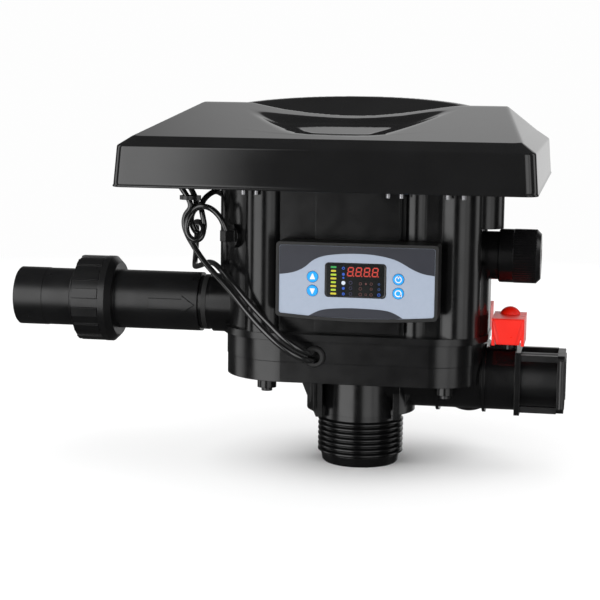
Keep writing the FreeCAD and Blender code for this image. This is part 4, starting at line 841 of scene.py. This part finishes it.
def keySigns(s):
    left, right, upper, lower = s["left"], s["right"], s["upper"], s["lower"]
    arrows = {"arrowUp": ("up_key", left, upper, 1), "arrowDown": ("down_key", left, lower, -1)}
    for name, (body, x, z, way) in arrows.items():
        sign = FlatSet(s["front"], s["back"])
        sign.area([(x + a, z + b * way) for a, b in s["arrow"]])
        sign.finish(name, surfaces["printWhite"], body, "key_blue")
    menu = FlatSet(s["front"], s["back"])
    menu.ring(circle(right, upper, s["outer"]), circle(right, upper, s["inner"]))
    x0, x1, z0, z1, corner = s["stem"]
    menu.area(rounded(right + x0, right + x1, upper + z0, upper + z1, corner, s["stemSteps"]))
    menu.finish("menuSign", surfaces["printWhite"], "menu_key", "key_blue")
    enter = FlatSet(s["front"], s["back"])
    enter.ring(circle(right, lower, s["outer"]), circle(right, lower, s["inner"]))
    enter.area([(right + a, lower + b) for a, b in s["tick"]])
    enter.finish("enterSign", surfaces["printWhite"], "enter_key", "key_blue")


keySigns(keySet)
print("panel finished")

# levers: a full flared plate behind each raised front

leverSet = {"half": 12.9, "top": 54.6, "foot": 33.4, "footHalf": 9.4, "shoulder": 3.4,
            "front": -33.1, "back": -29.6, "soft": 1.1, "softSteps": 4,
            "flare": 1.2, "flareRise": 9, "cornerDip": 0.3, "cornerIn": 0.5}
# the body each rides on, the place of its axis and its turn about that axis
leverPlaces = {"outletLeverFront": ("outlet_lever", 124.4, 0, 76, 0),
               "drainLeverFront": ("drain_lever", 91, 70, 72, 180)}


def leverFront(name, place, s):
    body, x, y, z, turn = place
    half, foot, top, edge = s["half"], s["foot"], s["top"], s["shoulder"]
    side = [(s["footHalf"], foot), (half - s["flare"], foot + s["flareRise"]), (half, top - edge),
            (half - s["cornerIn"], top - edge * 0.45), (half - edge * 0.6, top - s["cornerDip"]),
            (half - edge, top)]
    outline = [(-side[0][0], side[0][1])] + side + [(-a, b) for a, b in side[:0:-1]]
    mesh = bmesh.new()
    rims = [[mesh.verts.new((a * mm, level * mm, b * mm)) for a, b in outline]
            for level in (s["front"], s["back"])]
    mesh.faces.new(rims[0])
    mesh.faces.new(rims[1][::-1])
    for k in range(len(outline)):
        after = (k + 1) % len(outline)
        mesh.faces.new((rims[0][k], rims[1][k], rims[1][after], rims[0][after]))
    bmesh.ops.recalc_face_normals(mesh, faces=mesh.faces)
    bmesh.ops.bevel(mesh, geom=[e for e in mesh.edges if e.verts[0].co.y == e.verts[1].co.y],
                    offset=s["soft"] * mm, segments=s["softSteps"], profile=0.5, affect="EDGES")
    mesh.transform(Matrix.Translation((x * mm, y * mm, z * mm))
                   @ Matrix.Rotation(math.radians(turn), 4, "Z"))
    data = bpy.data.meshes.new(name)
    mesh.to_mesh(data)
    mesh.free()
    data.materials.append(surfaces["leverRed"])
    for face in data.polygons:
        face.use_smooth = True
    piece = bpy.data.objects.new(name, data)
    bpy.context.scene.collection.objects.link(piece)
    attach(piece, body)


for name, place in leverPlaces.items():
    leverFront(name, place, leverSet)
print("levers faced")

# floor, light and surroundings

studioSet = {"floorSize": 30, "floorTint": 0.93,
             "strips": [
                 # azimuth from the front, half width, softness, low, high, softness, strength
                 (-37, 23.5, 2.2, -0.35, 0.55, 0.16, 3.1),
                 (27, 13, 6, -0.3, 0.55, 0.16, 1.9),
                 (52, 7, 5, -0.3, 0.55, 0.16, 1.5),
                 (-96, 9, 8, -0.3, 0.6, 0.15, 1.5),
                 (108, 9, 8, -0.3, 0.6, 0.15, 1.3),
                 (176, 18, 10, -0.3, 0.47, 0.055, 0.58),
                 (178, 10, 6, -0.5, 0.02, 0.04, 0.08)],
             "ambient": 0.045, "paper": 0.985, "nearFloor": 0.5, "farFloor": 1.6, "lift": 0.7}


def makeWorld(s):
    world = bpy.data.worlds.new("studioWorld")
    bpy.context.scene.world = world
    world.use_nodes = True
    tree = world.node_tree
    tree.nodes.clear()
    output = tree.nodes.new("ShaderNodeOutputWorld")
    coords = tree.nodes.new("ShaderNodeTexCoord").outputs["Generated"]
    apart = addNode(tree, "ShaderNodeSeparateXYZ", Vector=coords)
    flat = tree.nodes.new("ShaderNodeVectorMath")
    flat.operation = "MULTIPLY"
    tree.links.new(coords, flat.inputs[0])
    flat.inputs[1].default_value = (1, 1, 0)
    unit = tree.nodes.new("ShaderNodeVectorMath")
    unit.operation = "NORMALIZE"
    tree.links.new(flat.outputs[0], unit.inputs[0])

    def ramp(value, start, end, low=0.0, high=1.0):
        ranged = tree.nodes.new("ShaderNodeMapRange")
        ranged.interpolation_type = "SMOOTHSTEP"
        tree.links.new(value, ranged.inputs["Value"])
        for key, number in (("From Min", start), ("From Max", end), ("To Min", low),
                            ("To Max", high)):
            ranged.inputs[key].default_value = number
        return ranged.outputs[0]

    def combine(operation, first, second):
        node = tree.nodes.new("ShaderNodeMath")
        node.operation = operation
        for slot, value in zip(node.inputs, (first, second)):
            if isinstance(value, bpy.types.NodeSocket):
                tree.links.new(value, slot)
            else:
                slot.default_value = value
        return node.outputs[0]

    total = s["ambient"]
    for azimuth, half, soft, low, high, softHeight, strength in s["strips"]:
        turn = math.radians(azimuth)
        toward = tree.nodes.new("ShaderNodeVectorMath")
        toward.operation = "DOT_PRODUCT"
        tree.links.new(unit.outputs[0], toward.inputs[0])
        toward.inputs[1].default_value = (math.sin(turn), -math.cos(turn), 0)
        across = ramp(toward.outputs["Value"], math.cos(math.radians(half + soft)),
                      math.cos(math.radians(max(half - soft, 0))))
        rise = ramp(apart.outputs[2], low - softHeight, low + softHeight)
        fall = ramp(apart.outputs[2], high - softHeight, high + softHeight, 1.0, 0.0)
        strip = combine("MULTIPLY", combine("MULTIPLY", across, rise),
                        combine("MULTIPLY", fall, strength))
        total = combine("ADD", strip, total)
    sky = tree.nodes.new("ShaderNodeBackground")
    tree.links.new(total, sky.inputs["Strength"])
    sky.inputs["Color"].default_value = (1, 1, 1, 1)
    plain = tree.nodes.new("ShaderNodeBackground")
    plain.inputs["Color"].default_value = (s["paper"], s["paper"], s["paper"], 1)
    path = tree.nodes.new("ShaderNodeLightPath")
    mix = tree.nodes.new("ShaderNodeMixShader")
    tree.links.new(path.outputs["Is Camera Ray"], mix.inputs[0])
    tree.links.new(sky.outputs[0], mix.inputs[1])
    tree.links.new(plain.outputs[0], mix.inputs[2])
    tree.links.new(mix.outputs[0], output.inputs[0])


def makeFloor(s):
    half = s["floorSize"] / 2
    data = bpy.data.meshes.new("studioFloor")
    data.from_pydata([(-half, -half, 0), (half, -half, 0), (half, half, 0), (-half, half, 0)], [],
                     [(0, 1, 2, 3)])
    floor = bpy.data.objects.new("studioFloor", data)
    bpy.context.scene.collection.objects.link(floor)
    surface, tree, shader = newSurface("floorWhite")
    coords = tree.nodes.new("ShaderNodeTexCoord").outputs["Object"]
    patch = noiseField(tree, coords, 3, 2)
    tree.links.new(mixColours(tree, patch.outputs[0], [s["floorTint"]] * 3,
                              [s["floorTint"] * 0.99] * 3), shader.inputs["Base Color"])
    shader.inputs["Roughness"].default_value = 0.9
    shader.inputs["Specular IOR Level"].default_value = 0
    # the sheet runs into the pale background with distance; nearer in, a painted glow lifts the
    # object's cast shadow, its share rising from none at 4 cm to 0.7 at 14 cm out
    reach = tree.nodes.new("ShaderNodeVectorMath")
    reach.operation = "LENGTH"
    tree.links.new(coords, reach.inputs[0])
    far = spread(tree, reach.outputs["Value"], 0, 1, s["nearFloor"], s["farFloor"])
    # painted light: floor glow that fills in the object's shadow away from where it stands
    shadowFillGlow = spread(tree, reach.outputs["Value"], 0, s["lift"], 0.04, 0.14)
    highest = tree.nodes.new("ShaderNodeMath")
    highest.operation = "MAXIMUM"
    tree.links.new(far, highest.inputs[0])
    tree.links.new(shadowFillGlow, highest.inputs[1])
    glow = addNode(tree, "ShaderNodeEmission", Color=(s["paper"], s["paper"], s["paper"], 1))
    blend = addNode(tree, "ShaderNodeMixShader", Fac=highest.outputs[0])
    tree.links.new(shader.outputs[0], blend.inputs[1])
    tree.links.new(glow.outputs[0], blend.inputs[2])
    tree.links.new(blend.outputs[0], tree.get_output_node("ALL").inputs[0])
    data.materials.append(surface)
    floor.visible_glossy = False


def makeLamp(name, place, target, size, power):
    data = bpy.data.lights.new(name, "AREA")
    data.shape = "RECTANGLE"
    data.size, data.size_y = size
    data.energy = power
    lamp = bpy.data.objects.new(name, data)
    lamp.location = place
    lamp.rotation_euler = (Vector(target) - Vector(place)).to_track_quat("-Z", "Y").to_euler()
    lamp.visible_glossy = False
    bpy.context.scene.collection.objects.link(lamp)


makeWorld(studioSet)
makeFloor(studioSet)
makeLamp("overheadPanel", (0, 0, 3.2), (0, 0, 0), (5, 5), 218)
makeLamp("frontPanel", (0.3, -2.6, 1.6), (0, 0, 0.16), (2.2, 1.4), 24)
bpy.context.scene.view_settings.view_transform = "Standard"
bpy.context.scene.view_settings.look = "None"
print("studio lit")
